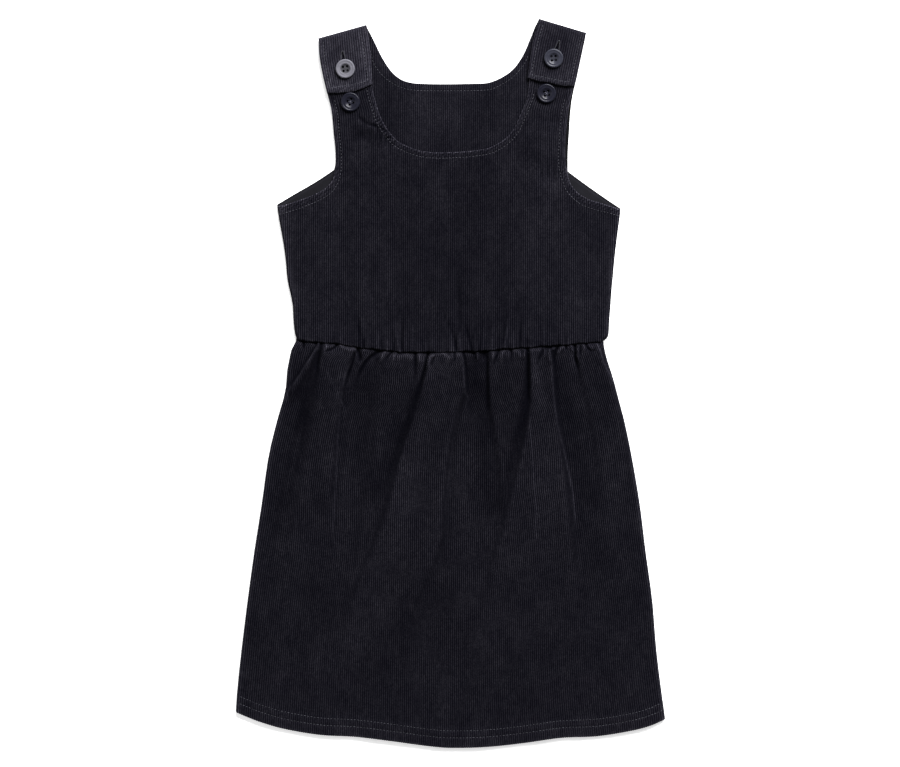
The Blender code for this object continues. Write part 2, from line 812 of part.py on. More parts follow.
def make_button(name, x, y, rests_on, turn, collection, cutters):
    outline = bmesh.new()
    corners = [outline.verts.new((radius, 0, height)) for radius, height in BUTTON_PROFILE]
    for first, second in zip(corners, corners[1:]):
        outline.edges.new((first, second))
    colour = GREY_BUTTON if name == "button_upper_left" else NAVY_BUTTON
    made = node(name, outline, collection, colour, roughness=0.35)
    made.location = (x, y, rests_on + BUTTON_LIFT)
    lathe = made.modifiers.new("Lathe", "SCREW")
    lathe.steps = BUTTON_STEPS
    lathe.render_steps = BUTTON_STEPS
    lathe.use_merge_vertices = True
    lathe.merge_threshold = 0.00001
    lathe.use_normal_calculate = True
    holes = bmesh.new()
    for across, up in ((-1, -1), (1, -1), (-1, 1), (1, 1)):
        place = Matrix.Translation((across * HOLE_SPREAD, up * HOLE_SPREAD, 0.001))
        bmesh.ops.create_cone(
            holes,
            segments=10,
            radius1=HOLE_RADIUS,
            radius2=HOLE_RADIUS,
            depth=0.006,
            cap_ends=True,
            matrix=place,
        )
    mesh = bpy.data.meshes.new(f"{name}_holes")
    holes.to_mesh(mesh)
    holes.free()
    drill = bpy.data.objects.new(f"{name}_holes", mesh)
    drill.location = made.location
    drill.rotation_euler = (0, 0, math.radians(turn))
    cut(made, drill, cutters)
    return made


def middle_of_base(objects):
    """The step that puts the middle of the dress's footprint on the origin."""
    bpy.context.view_layer.update()
    graph = bpy.context.evaluated_depsgraph_get()
    low = Vector((math.inf, math.inf, math.inf))
    high = -low
    for made in objects:
        solid = made.evaluated_get(graph)
        for corner in solid.data.vertices:
            point = solid.matrix_world @ corner.co
            for axis in range(3):
                low[axis] = min(low[axis], point[axis])
                high[axis] = max(high[axis], point[axis])
    return Vector(((low.x + high.x) / 2, (low.y + high.y) / 2, low.z))


for old in list(bpy.data.objects):
    bpy.data.objects.remove(old)

dress = bpy.data.collections.new("pinafore_dress")
cutters = bpy.data.collections.new("cutters")
bpy.context.scene.collection.children.link(dress)
bpy.context.scene.collection.children.link(cutters)
cutters.hide_render = True

make_skirt("back_skirt", BACK_SKIRT_ROWS, False, dress)
make_skirt("front_skirt", FRONT_SKIRT_ROWS, True, dress)
back_bodice = make_back_bodice(dress)
make_neck_facing(dress)
make_front_bodice(dress)
cut_buttonholes(back_bodice, cutters)
for name, x, y, rests_on, turn in BUTTONS:
    make_button(name, x, y, rests_on, turn, dress, cutters)

shift = middle_of_base(dress.objects)
for made in [*dress.objects, *cutters.objects]:
    made.location -= shift
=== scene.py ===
# %% [markdown]
# # A needlecord pinafore dress, lying flat
# A pinafore is a sleeveless dress that a child wears over a top. This one is cut from
# needlecord, a fine corduroy, and lies on its back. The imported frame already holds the
# true size and place of every cut piece, so this lesson only dresses it: each panel
# becomes a thin, ribbed sheet of cloth, sewn with real stitches.

# %% Load the frame and keep its box
import math

import bmesh
import bpy
import numpy as np
from mathutils import Matrix, Vector
from mathutils.bvhtree import BVHTree


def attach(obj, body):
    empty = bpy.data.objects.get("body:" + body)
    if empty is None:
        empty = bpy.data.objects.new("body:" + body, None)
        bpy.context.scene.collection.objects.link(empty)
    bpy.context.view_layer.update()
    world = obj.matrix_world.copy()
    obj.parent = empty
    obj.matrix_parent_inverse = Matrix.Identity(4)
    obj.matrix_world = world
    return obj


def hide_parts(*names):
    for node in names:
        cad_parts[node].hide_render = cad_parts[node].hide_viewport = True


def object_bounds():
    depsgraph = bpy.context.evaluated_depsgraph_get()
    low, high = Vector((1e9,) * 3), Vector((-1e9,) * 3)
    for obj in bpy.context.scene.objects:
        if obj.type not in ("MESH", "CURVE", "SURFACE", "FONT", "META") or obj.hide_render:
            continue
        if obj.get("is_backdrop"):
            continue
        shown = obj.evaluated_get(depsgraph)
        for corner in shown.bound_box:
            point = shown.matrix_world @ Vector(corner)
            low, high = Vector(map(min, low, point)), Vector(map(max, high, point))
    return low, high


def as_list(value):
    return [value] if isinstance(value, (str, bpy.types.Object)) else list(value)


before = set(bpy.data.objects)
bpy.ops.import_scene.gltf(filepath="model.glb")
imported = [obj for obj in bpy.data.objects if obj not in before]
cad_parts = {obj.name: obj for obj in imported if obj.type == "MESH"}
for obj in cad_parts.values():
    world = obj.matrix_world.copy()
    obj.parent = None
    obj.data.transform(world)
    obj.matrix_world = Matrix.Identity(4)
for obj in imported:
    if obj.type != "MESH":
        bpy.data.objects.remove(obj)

frame_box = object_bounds()
print("nodes:", ", ".join(sorted(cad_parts)))
print("box of the frame:", frame_box)

# %% [markdown]
# A dressmaker works from a list of measures, and so does this file. Its outlines, folds
# and rows of stitching are short tables in whole tenths of a millimetre, finer than a
# tape can be read. A line is written as the two measures of each of its points in
# turn, and `points` pairs them up and turns them into metres.

# %% Measures in tenths of a millimetre
MIDDLE = np.array([0.0001, -0.0002, 0.0])  # where the tables' zero lies in the frame


def metres(table):
    """A measure, or a whole table of them, in metres."""
    return table / 10000 if isinstance(table, int) else tuple(metres(entry) for entry in table)


def points(*measures):
    """A line in metres, from the two measures of each of its points."""
    return metres(zip(measures[::2], measures[1::2]))


def marked_lines(rows, unit=10000):
    """Rows of an amount, a width and then a line, as (amount, width, line)."""
    return [(amount / unit, width / 10000, points(*line)) for amount, width, *line in rows]


print("two points of a line:", points(0, 5, 120, 250))

# %% [markdown]
# `along` reads one column of a table anywhere between its rows. It bends smoothly
# through the rows, as a flexible curve laid through chalk marks does. NumPy lets one
# call read thousands of points, which keeps the whole dress quick. `bell` is the soft
# hump that every crease, puff and groove is made of.

# %% Reading measures from a table
def along(table, at, column=1):
    """A column of the table at the given places, which its first column counts along."""
    rows = np.array([row[: column + 1] for row in table], float)
    keys, values = rows[:, 0], rows[:, column]
    last = len(keys) - 1
    before, after = np.maximum(np.arange(last + 1) - 1, 0), np.minimum(np.arange(last + 1) + 1, last)
    slopes = (values[after] - values[before]) / (keys[after] - keys[before])
    at = np.clip(at, keys[0], keys[-1])
    low = np.clip(np.searchsorted(keys, at, side="right") - 1, 0, last - 1)
    width = keys[low + 1] - keys[low]
    t = (at - keys[low]) / width
    level = values[low] + (values[low + 1] - values[low]) * t * t * (3 - 2 * t)
    return level + t * (1 - t) * width * ((1 - t) * slopes[low] - t * slopes[low + 1])


def between(start, end, share):
    return start + (end - start) * share


def ease(share):
    share = np.clip(share, 0.0, 1.0)
    return share * share * (3 - 2 * share)


def bell(distance, width):
    """1 on a line, dying away smoothly on both sides of it."""
    return np.exp(-((distance / width) ** 2))


print("halfway up a slope of 0 to 2:", along(((0, 0), (1, 1), (2, 2)), 1.0))

# %% [markdown]
# Needlecord is woven with rows of cut pile that stand up as fine ribs, here 14 to the
# inch. The ribs show in every fold, so they are made as real relief: four points across
# each rib give it a broad rounded top and a narrow groove. The same pattern is kept on
# the points as an attribute, so a material can paint shade into the groove and a
# highlight on the top.

# %% The ribs of the cloth
RIB = 0.00181  # from one rib to the next
STEPS = 4  # points across one rib
RIB_SHAPE = np.array([1.0, 0.5, -1.0, 0.5])  # top, side, groove, side
RIB_DEPTH = 0.00019
SKIRT_WALL = 0.0012
BODICE_WALL = 0.0015
BACK_WALL = 0.0013
FACING_WALL = 0.0010
HEM_WIDTH = 0.36


def rib_pattern(rows, columns):
    return np.tile(RIB_SHAPE[np.arange(columns) % STEPS], (rows, 1))


print("ribs across the hem:", round(HEM_WIDTH / RIB))

# %% [markdown]
# Cloth, thread and plastic need the same few things: noise in the object's own space, a
# ramp of colours, two colours multiplied or added, a bump, and values read from the
# points. Each helper adds one of these, so a finish reads as a recipe. A number that
# is the same all over goes straight onto the shader.

# %% Nodes that the finishes share
def new_finish(name, values):
    """A material whose shader holds the given values."""
    made = bpy.data.materials.new(name)
    made.use_nodes = True
    tree = made.node_tree
    shader = tree.nodes["Principled BSDF"]
    for socket, value in values.items():
        shader.inputs[socket].default_value = value
    return made, tree, shader


def add_noise(tree, scale, detail=2.0, stretch=(1, 1, 1)):
    place = tree.nodes.new("ShaderNodeTexCoord")
    mapping = tree.nodes.new("ShaderNodeMapping")
    mapping.inputs["Scale"].default_value = stretch
    noise = tree.nodes.new("ShaderNodeTexNoise")
    noise.inputs["Scale"].default_value = scale
    noise.inputs["Detail"].default_value = detail
    tree.links.new(place.outputs["Object"], mapping.inputs["Vector"])
    tree.links.new(mapping.outputs["Vector"], noise.inputs["Vector"])
    return noise.outputs["Fac"]


def add_ramp(tree, source, stops):
    ramp = tree.nodes.new("ShaderNodeValToRGB")
    ramp.color_ramp.elements[0].position = stops[0][0]
    ramp.color_ramp.elements[0].color = (*stops[0][1], 1)
    ramp.color_ramp.elements[1].position = stops[-1][0]
    ramp.color_ramp.elements[1].color = (*stops[-1][1], 1)
    for position, colour in stops[1:-1]:
        ramp.color_ramp.elements.new(position).color = (*colour, 1)
    tree.links.new(source, ramp.inputs["Fac"])
    return ramp.outputs["Color"]


def add_mix(tree, blend, first, second):
    """Two colours multiplied or added; the second is an output or one flat colour."""
    mix = tree.nodes.new("ShaderNodeMix")
    mix.data_type = "RGBA"
    mix.blend_type = blend
    mix.inputs["Factor"].default_value = 1.0
    tree.links.new(first, mix.inputs["A"])
    if isinstance(second, tuple):
        mix.inputs["B"].default_value = second
    else:
        tree.links.new(second, mix.inputs["B"])
    return mix.outputs["Result"]


def add_bump(tree, shader, height, distance, strength=1.0):
    bump = tree.nodes.new("ShaderNodeBump")
    bump.inputs["Distance"].default_value = distance
    bump.inputs["Strength"].default_value = strength
    tree.links.new(height, bump.inputs["Height"])
    tree.links.new(bump.outputs["Normal"], shader.inputs["Normal"])


def add_attribute(tree, name):
    attribute = tree.nodes.new("ShaderNodeAttribute")
    attribute.attribute_name = name
    return attribute.outputs["Fac"]


print("ready to mix finishes")

# %% [markdown]
# The pile of corduroy is almost black when seen from above, because light falls in
# between the fibres, and it turns grey-blue where they catch light from the side.
# The shader's sheen does that. Three sizes of noise, drawn out along the ribs, make the
# pile uneven: how it lies, worn patches and single flecks. A fine one in the bump
# breaks the surface into fibres.

# %% Needlecord, right side
MOTTLE = (  # noise scale, detail, stretch, dark stop and colour, light stop and colour
    (60, 3.0, 0.70, 0.30, (0.82, 0.82, 0.84), 0.70, (1.16, 1.16, 1.15)),
    (280, 2.0, 0.55, 0.36, (0.85, 0.85, 0.86), 0.64, (1.16, 1.16, 1.15)),
    (1500, 1.0, 0.50, 0.34, (0.64, 0.64, 0.66), 0.68, (1.40, 1.40, 1.38)),
)
PILE = {"Roughness": 0.95, "Specular IOR Level": 0.05, "Sheen Weight": 0.14, "Sheen Roughness": 0.25,
        "Sheen Tint": (0.68, 0.67, 0.84, 1)}
DEEP_BLUE = (0.0, 0.0, 0.0017, 1)  # the little light that even a groove gives back


def needlecord_finish(name, crest, groove):
    made, tree, shader = new_finish(name, PILE)
    # The groove is painted near black as shade and the top of the rib lighter as a painted highlight. The
    # tone attribute brings the painted light and shade of folds and edges, with the lie of the pile.
    colour = add_ramp(tree, add_attribute(tree, "rib"), ((0.15, groove), (0.95, crest)))
    colour = add_mix(tree, "MULTIPLY", colour, add_attribute(tree, "tone"))
    for scale, detail, stretch, low, dark, high, light in MOTTLE:
        noise = add_noise(tree, scale, detail, (1, stretch, 1))
        colour = add_mix(tree, "MULTIPLY", colour, add_ramp(tree, noise, ((low, dark), (high, light))))
    tree.links.new(add_mix(tree, "ADD", colour, DEEP_BLUE), shader.inputs["Base Color"])
    add_bump(tree, shader, add_noise(tree, 2600, 2.0, (1, 0.5, 1)), 0.00012, 0.8)
    return made


cord = needlecord_finish("needlecord_navy_black", (0.0152, 0.0145, 0.0176), (0.0003, 0.0003, 0.0008))
print("right side:", cord.name)

# %% [markdown]
# The wrong side has no pile. It is a plain, smooth weave, a shade lighter and duller
# than the ribs, and it shows in the two armholes, where the back lies open. Two wave
# textures crossed at right angles make the over and under of the threads.

# %% Needlecord, wrong side
WEAVE = {"Roughness": 0.9, "Specular IOR Level": 0.15, "Sheen Weight": 0.08}


def plain_weave_finish(name, colour):
    made, tree, shader = new_finish(name, WEAVE)
    place = tree.nodes.new("ShaderNodeTexCoord")
    weave = tree.nodes.new("ShaderNodeMath")
    weave.operation = "MULTIPLY"
    for socket, direction in enumerate(("X", "Y")):
        wave = tree.nodes.new("ShaderNodeTexWave")
        wave.bands_direction = direction
        wave.inputs["Scale"].default_value = 420
        wave.inputs["Distortion"].default_value = 0.6
        tree.links.new(place.outputs["Object"], wave.inputs["Vector"])
        tree.links.new(wave.outputs["Fac"], weave.inputs[socket])
    under, over = [0.75 * c for c in colour], [1.2 * c for c in colour]
    shade = add_ramp(tree, weave.outputs[0], ((0.0, under), (1.0, over)))
    wear = add_ramp(tree, add_noise(tree, 60, 3.0), ((0.3, (0.8, 0.8, 0.8)), (0.7, (1.15, 1.15, 1.15))))
    # The tone attribute brings in painted shade and highlight on the wrong side.
    colour = add_mix(tree, "MULTIPLY", add_mix(tree, "MULTIPLY", shade, wear), add_attribute(tree, "tone"))
    tree.links.new(colour, shader.inputs["Base Color"])
    add_bump(tree, shader, weave.outputs[0], 0.00006)
    return made


wrong_side = plain_weave_finish("needlecord_wrong_side", (0.0132, 0.0128, 0.0166))
print("wrong side:", wrong_side.name)

# %% [markdown]
# Each ridge gets a painted highlight and each crease painted shade. Comparing each point's
# height with the mean of its row nearby tells one from the other, once over a narrow
# reach for creases and once over a broad one.

# %% Painted light on ridges, painted shade in creases, and turned edges
FOLD_SHADING = (  # reach in points, height that counts in full, how much lighter, how much darker
    (4, 0.00026, 0.28, 0.34),
    (12, 0.0009, 0.24, 0.42),
)


def fold_light_and_shade(surface):
    """Painted highlight on a ridge and painted shade in a crease; 1 is level cloth."""
    height = surface[..., 2]
    tone = np.ones(height.shape)
    for reach, full, light, dark in FOLD_SHADING:
        padded = np.pad(height, ((0, 0), (reach, reach)), mode="edge")
        summed = np.cumsum(np.pad(padded, ((0, 0), (1, 0))), axis=1)
        nearby = (summed[:, 2 * reach + 1 :] - summed[:, : -2 * reach - 1]) / (2 * reach + 1)
        lift = np.clip((height - nearby) / full, -1, 1)
        tone = tone * np.where(lift > 0, 1 + light * lift, 1 + dark * lift)
    return tone


def edge_wear_and_highlight(distance, reach=0.0007):
    """The thin light line along a turned edge: worn pile, and a painted highlight where the edge catches
    the light.
    """
    return 1 + 2.4 * bell(distance, reach)


print("tone on a turned edge:", edge_wear_and_highlight(0.0))

# %% [markdown]
# A cut piece has a right side, a wrong side and a raw edge that joins them. The right
# side needs every rib, but the wrong side is smooth, so it takes only one point to a
# rib. `CutPiece` keeps both grids and stitches the coarse one to the fine one along
# the edges that are open, so each panel is one closed sheet with a true thickness.

# %% A cut piece of cloth
WHOLE_EDGE = dict.fromkeys(("low", "high", "left", "right"), True)
SAME_POINT = 0.000004  # points closer than this are merged


def put(name, data):
    """Puts a mesh, a lamp or a camera into the scene under its name."""
    made = bpy.data.objects.new(name, data)
    bpy.context.scene.collection.objects.link(made)
    return made


class CutPiece:
    def __init__(self, name):
        self.name = name
        self.points, self.ribs, self.tones, self.faces, self.uvs, self.sides = [], [], [], [], [], []
        self.count = 0

    def keep(self, grid, ribs, tones):
        self.points.append(grid.reshape(-1, 3))
        self.ribs.append(ribs.reshape(-1))
        self.tones.append(tones.reshape(-1))
        ids = self.count + np.arange(ribs.size).reshape(ribs.shape)
        self.count += ids.size
        return ids

    def add_faces(self, corners, uv, side, flip):
        order = slice(None, None, -1) if flip else slice(None)
        self.faces += [list(face[order]) for face in corners]
        self.uvs.append(uv[:, order].reshape(-1, 2))
        self.sides.append(np.full(len(corners), side))

    def cells(self, ids, tile, side, flip):
        """A face for every cell of a grid, whose UV coordinates fill one tile."""
        def four(grid):
            cell = (grid[:-1, :-1], grid[:-1, 1:], grid[1:, 1:], grid[1:, :-1])
            return np.stack(cell, 2).reshape((ids.shape[0] - 1) * (ids.shape[1] - 1), 4, -1)

        rows, columns = ids.shape
        u, v = np.meshgrid(np.linspace(tile[0], tile[2], columns), np.linspace(tile[1], tile[3], rows))
        self.add_faces(four(ids[..., None])[..., 0], four(np.stack((u, v), 2)), side, flip)

    def rim(self, fine, coarse, strip, flip, open_ribs):
        """Faces from one edge of the right side to the same edge of the wrong side."""
        steps = (len(fine) - 1) // (len(coarse) - 1)
        ribs = np.arange(len(coarse) - 1)
        ribs = ribs[np.broadcast_to(open_ribs, ribs.shape)]
        over = [fine[ribs * steps + k] for k in range(steps, -1, -1)]
        ring = np.stack([coarse[ribs], coarse[ribs + 1], *over], 1)
        left, right = ribs / len(coarse), (ribs + 1) / len(coarse)
        share = np.stack([left, right, *[between(left, right, k / steps) for k in range(steps, -1, -1)]], 1)
        height = np.array([0, 0] + [1] * (steps + 1)) * np.ones((len(ribs), 1))
        uv = np.stack((between(strip[0], strip[2], share), between(strip[1], strip[3], height)), 2)
        self.add_faces(ring, uv, 0, flip)

    def add_sheet(self, surface, outward, wall, tiles, raw, turn=False,
                  tone=1.0, relief=1.0, wrong_side_shading=1.0, crest_highlight=0.0):
        """surface is a grid of points from the bottom up, and outward its normals.

        raw says which edges are cut edges: low, high, left and right. relief is how
        strongly the ribs stand out: 1 is new cord and 0 is rubbed flat. tone is how light
        the right side is, painted light and shade included. The wrong side's value gives its
        painted shade and highlight, and the last value is the painted highlight on the top of
        a rib: how much lighter it is than its sides.
        """
        pattern = rib_pattern(*surface.shape[:2])
        ribs = pattern * relief
        tone = fold_light_and_shade(surface) * tone * (1 + crest_highlight * pattern)
        fine = self.keep(surface + outward * (ribs * RIB_DEPTH)[..., None], 0.55 + 0.45 * ribs, tone)
        inside = (surface - outward * np.asarray(wall)[..., None])[:, ::STEPS]
        plain = np.zeros(inside.shape[:2])
        coarse = self.keep(inside, plain, (wrong_side_shading * np.ones(pattern.shape))[:, ::STEPS])
        self.cells(fine, tiles[0], 0, turn)
        self.cells(coarse, tiles[1], 1, not turn)
        for edge, f, c, flip in (
            ("low", fine[0], coarse[0], False),
            ("high", fine[-1], coarse[-1], True),
            ("left", fine[:, 0], coarse[:, 0], True),
            ("right", fine[:, -1], coarse[:, -1], False),
        ):
            if edge in raw:
                self.rim(f, c, tiles[2], flip != turn, raw[edge])

    def finish(self, *finishes):
        mesh = bpy.data.meshes.new(self.name)
        mesh.from_pydata((np.concatenate(self.points) - MIDDLE).tolist(), [], self.faces)
        uvs = np.concatenate(self.uvs).astype(np.float32).ravel()
        mesh.uv_layers.new(name="OFBake").data.foreach_set("uv", uvs)
        mesh.polygons.foreach_set("material_index", np.concatenate(self.sides).astype(np.int32))
        mesh.polygons.foreach_set("use_smooth", np.ones(len(self.faces), bool))
        for name, values in (("rib", self.ribs), ("tone", self.tones)):
            kept = mesh.attributes.new(name, "FLOAT", "POINT")
            kept.data.foreach_set("value", np.concatenate(values).astype(np.float32))
        cloth = bmesh.new()
        cloth.from_mesh(mesh)
        bmesh.ops.remove_doubles(cloth, verts=cloth.verts, dist=SAME_POINT)
        open_edges = sum(len(edge.link_faces) != 2 for edge in cloth.edges)
        cloth.to_mesh(mesh)
        cloth.free()
        for finish in finishes:
            mesh.materials.append(finish)
        triangles = sum(len(face.vertices) - 2 for face in mesh.polygons)
        print(f"{self.name}: {triangles} triangles, {open_edges} open edges")
        return put(self.name, mesh)


def normals_of(grid):
    """Unit normals of a grid of points that runs to the right and up."""
    across = np.gradient(grid, axis=1)
    up = np.gradient(grid, axis=0)
    normal = np.cross(across, up)
    return normal / np.maximum(np.linalg.norm(normal, axis=2, keepdims=True), 1e-12)

# %% [markdown]
# At both side seams the cloth rolls round from the front to the back. A quarter of an
# ellipse gives the roll: the sheet drops towards the seam over the last few
# millimetres and ends upright on it.

# %% Rolling a panel round at its side seams
SIDE_ROLL = 0.0022
THICK = 0.0046  # a fold that stands higher than this rolls round more widely
SEAM_HEIGHT = {True: 0.00215, False: 0.00205}  # front, back


def roll_sides(x, left, right, height, front):
    edge = SEAM_HEIGHT[front]
    radius = SIDE_ROLL + 0.6 * np.maximum(0.0, height - THICK)
    inset = np.clip(np.minimum(x - left, right - x) / radius, 0.0, 1.0)
    return edge + (height - edge) * np.sqrt(1 - (1 - inset) ** 2)


print("seam heights in mm:", [round(h * 1000, 2) for h in SEAM_HEIGHT.values()])

# %% [markdown]
# The skirt is a straight panel, gathered into the waist so that it falls wider to the
# hem. Its outline is read from two tables, one for the side edges and one for the hem.
# The waist seam dips a little in the middle because the dress isn't pulled straight.

# %% Outline of the skirt
# The side edges' rows are height, left edge, right edge.
SKIRT_SIDES = metres((
    (-3066, -1808, 1817), (-2814, -1802, 1800), (-2579, -1788, 1768), (-2226, -1751, 1726),
    (-1823, -1701, 1693), (-1420, -1646, 1638), (-1016, -1583, 1588), (-613, -1525, 1520),
    (-311, -1453, 1457), (-109, -1394, 1403), (-8, -1376, 1378), (92, -1371, 1348), (193, -1352, 1315),
    (277, -1334, 1294), (353, -1294, 1281),
))
# The waist's points are across and height.
WAIST = points(
    -1281, 365, -1007, 339, -748, 302, -452, 270, -206, 263, 113, 269, 357, 283, 606, 302, 853, 318,
    1096, 339, 1281, 347
)
HEM = (  # share across, height
    (0.000, -0.2764), (0.028, -0.2806), (0.055, -0.2843), (0.110, -0.2901), (0.195, -0.2953),
    (0.280, -0.2971), (0.363, -0.3007), (0.447, -0.3048), (0.500, -0.3063), (0.588, -0.3054),
    (0.672, -0.3021), (0.756, -0.2979), (0.840, -0.2965), (0.924, -0.2916), (0.965, -0.2876),
    (1.000, -0.2824),
)
SKIRT_LENGTH = 0.334
SEAM_TUCK = 0.0012  # how far the skirt's top edge goes up under the bodice


def skirt_across(share, y):
    """How far across a share of the skirt's width lies, at a height."""
    return between(along(SKIRT_SIDES, y, 1), along(SKIRT_SIDES, y, 2), share)


def skirt_ends(share):
    """The height of the top and of the bottom of the skirt along each rib."""
    x = between(-0.129, 0.128, share)  # a first guess, made better by each turn
    for _ in range(3):
        top = along(WAIST, x)
        x = skirt_across(share, top)
    return top + SEAM_TUCK, along(HEM, share)


print("skirt length at the middle in mm:", round(float(np.subtract(*skirt_ends(np.array(0.5)))) * 1000))

# %% [markdown]
# Gathers start as short tight tucks in the seam: small puffs stand up between dark
# creases and melt away within a couple of centimetres. No two are alike, so each has
# its own row here, from one side of the waist to the other. Each is a short line with
# a rise, or a fall, that dies away on both sides of it.

# %% Gathers at the waist
TUCKS = marked_lines((  # rise, width, then across and height along its line
    (-16, 11, -1235, 353, -1231, 302),
    (-10, 10, -1163, 344, -1121, 328),
    (13, 12, -1109, 277, -1105, 353),
    (-19, 14, -1084, 344, -1096, 286, -1110, 210, -1121, 126, -1138, 17),
    (10, 12, -1054, 260, -1037, 332),
    (10, 14, -1037, 302, -987, 315),
    (-17, 9, -932, 340, -953, 319, -979, 294, -1012, 275, -1046, 269),
    (18, 16, -928, 323, -903, 298, -844, 277, -798, 281),
    (-18, 11, -806, 244, -822, 176, -842, 118, -861, 59, -873, -8, -878, -59),
    (-26, 18, -781, 277, -769, 252, -760, 202),
    (8, 12, -727, 273, -693, 277),
    (-26, 16, -575, 277, -626, 248, -676, 214, -718, 168, -752, 109, -777, 50, -798, -25),
    (14, 14, -546, 265, -567, 235, -592, 185),
    (-17, 10, -483, 269, -508, 244, -533, 214),
    (16, 10, -466, 260, -475, 218, -483, 160),
    (12, 21, -433, 218, -382, 231, -332, 210),
    (-17, 14, -294, 252, -298, 176, -298, 92, -298, -8),
    (9, 18, -265, 235, -248, 151),
    (-23, 14, -189, 244, -206, 176, -218, 109, -244, 17, -269, -67, -298, -143),
    (21, 11, -139, 231, -172, 218, -189, 176, -197, 118),
    (-13, 8, -139, 210, -160, 164),
    (12, 14, -113, 239, -63, 244, -13, 218),
    (9, 12, 13, 235, 21, 210),
    (-10, 11, 34, 252, 34, 185),
    (10, 16, 63, 235, 97, 231, 97, 101),
    (-20, 10, 109, 252, 116, 193, 126, 134, 133, 59),
    (-17, 14, 164, 260, 197, 252),
    (17, 12, 223, 260, 227, 202),
    (-20, 27, 281, 277, 286, 176),
    (14, 12, 353, 260, 357, 176),
    (-18, 10, 407, 281, 391, 235, 374, 193, 357, 139),
    (13, 14, 449, 269, 428, 227, 428, 143),
    (-17, 9, 508, 277, 512, 227, 504, 185),
    (10, 16, 533, 273, 575, 260, 584, 227),
    (13, 11, 626, 273, 617, 218),
    (-14, 12, 643, 290, 644, 151, 648, -59, 651, -160, 651, -353),
    (10, 14, 676, 273, 710, 277, 752, 277),
    (-14, 12, 777, 277, 756, 235, 735, 185, 727, 143),
    (13, 9, 792, 277, 794, 227),
    (-18, 12, 802, 298, 844, 298),
    (23, 12, 865, 290, 827, 273, 832, 210, 848, 151),
    (-23, 10, 903, 307, 882, 269, 868, 227, 868, 168),
    (14, 11, 945, 302, 920, 281, 903, 252),
    (-13, 8, 966, 315, 974, 286),
    (14, 11, 1012, 307, 1029, 269),
    (-22, 11, 1046, 315, 1046, 210, 1063, 143, 1075, 84, 1092, 42),
    (14, 11, 1063, 277, 1071, 210, 1084, 168),
    (-13, 8, 1090, 311, 1090, 252),
    (13, 9, 1117, 311, 1121, 277),
    (-16, 9, 1138, 323, 1155, 286, 1180, 269, 1210, 273),
    (8, 11, 1155, 307, 1189, 298),
))
TUCKS_END = -0.045  # no tuck reaches below this height
TUCK_SHARE = 0.85  # how much of its rise a tuck really stands up
SHORT_TUCK = 0.008  # a longer one fades out towards its lower end


def distance_to(line, x, y):
    """How far each point is from a line of straight stretches."""
    best = np.full(np.shape(x), np.inf)
    for (ax, ay), (bx, by) in zip(line, line[1:]):
        dx, dy = bx - ax, by - ay
        if dx == dy == 0:
            continue
        t = np.clip(((x - ax) * dx + (y - ay) * dy) / (dx * dx + dy * dy), 0, 1)
        best = np.minimum(best, np.hypot(x - ax - t * dx, y - ay - t * dy))
    return best


def tuck_height(x, y):
    x, y = np.broadcast_arrays(x, y)
    total = np.zeros(x.shape)
    near = y > TUCKS_END
    x, y = x[near], y[near]
    for rise, width, line in TUCKS:
        heights = [height for _, height in line]
        length = max(heights) - min(heights)
        fading = ease((y - min(heights) + 0.001) / (0.7 * length)) if length > SHORT_TUCK else 1.0
        total[near] += TUCK_SHARE * rise * fading * bell(distance_to(line, x, y), width)
    return total


print("tucks:", len(TUCKS))

# %% [markdown]
# Below the gathers the cloth settles into broad folds, and these give the skirt its
# look. Each is a raised band with a dip on either side. A row of the table holds how
# far the band stands up, how wide its left and right slopes are, how quickly it dies
# away, and the lines of its two edges. A slope narrower than the rise is cloth that
# has almost tipped over, which is how stiff cord falls. All slopes soften lower down.

# %% Long folds of the skirt
FOLDS = [
    (*metres(sizes), points(*left), points(*right))
    for sizes, left, right in (  # rise, left slope, right slope, fade; edges by height and across
        ((26, 15, 40, 80),
         (-126, -1373, -8, -1323, 160, -1214, 302, -1130, 344, -1113),
         (-143, -1323, -8, -1247, 160, -1155, 277, -1100, 344, -1088)),
        ((22, 50, 16, 400),
         (-1151, -1390, -563, -1264, -143, -1180, 193, -1113, 344, -1079),
         (-1151, -1004, -563, -962, -143, -920, -8, -895, 185, -844, 260, -811, 344, -794)),
        ((10, 80, 16, 300),
         (-983, -718, -563, -659, -143, -634, 193, -559, 344, -525),
         (-1109, -609, -605, -475, -168, -332, 101, -231, 227, -206, 344, -189)),
        ((30, 20, 18, 1200),
         (-2243, -1012, -1697, -794, -1109, -567, -605, -433, -168, -290, 101, -206, 227, -181, 344, -164),
         (-2243, -466, -1781, -256, -1361, -71, -983, -38, -563, 4, -227, 71, -76, 122, 59, 122, 252, 105,
          344, 97)),
        ((16, 20, 25, 200),
         (-1025, 416, -563, 391, -143, 323, 151, 319, 344, 332),
         (-1084, 407, -605, 525, -185, 609, 151, 634, 344, 634)),
        ((28, 18, 18, 1100),
         (-1991, 248, -1487, 349, -1109, 458, -605, 575, -185, 659, 151, 664, 344, 659),
         (-1991, 1189, -1487, 1054, -983, 1004, -563, 945, -143, 886, 151, 865, 344, 827)),
        ((16, 50, 25, 600),
         (-1151, 1256, -563, 1222, -143, 1138, 67, 1088, 344, 1063),
         (-1151, 1541, -563, 1483, -109, 1399, 8, 1368, 151, 1300, 344, 1239)),
        ((-16, 15, 15, 400),
         (-500, 170, 59, 130, 344, 113),
         (-500, 330, 59, 315, 344, 315)),
        ((-12, 80, 80, 500),
         (-1487, -1516, -815, -1390, -311, -1264, 25, -1180, 344, -1130),
         (-1487, -1390, -815, -1264, -311, -1172, 25, -1121, 344, -1096)),
        ((-8, 80, 80, 600),
         (-1823, -1054, -1151, -970, -479, -886, 25, -827, 344, -760),
         (-1823, -844, -1151, -760, -479, -710, 25, -659, 344, -592)),
    )
]


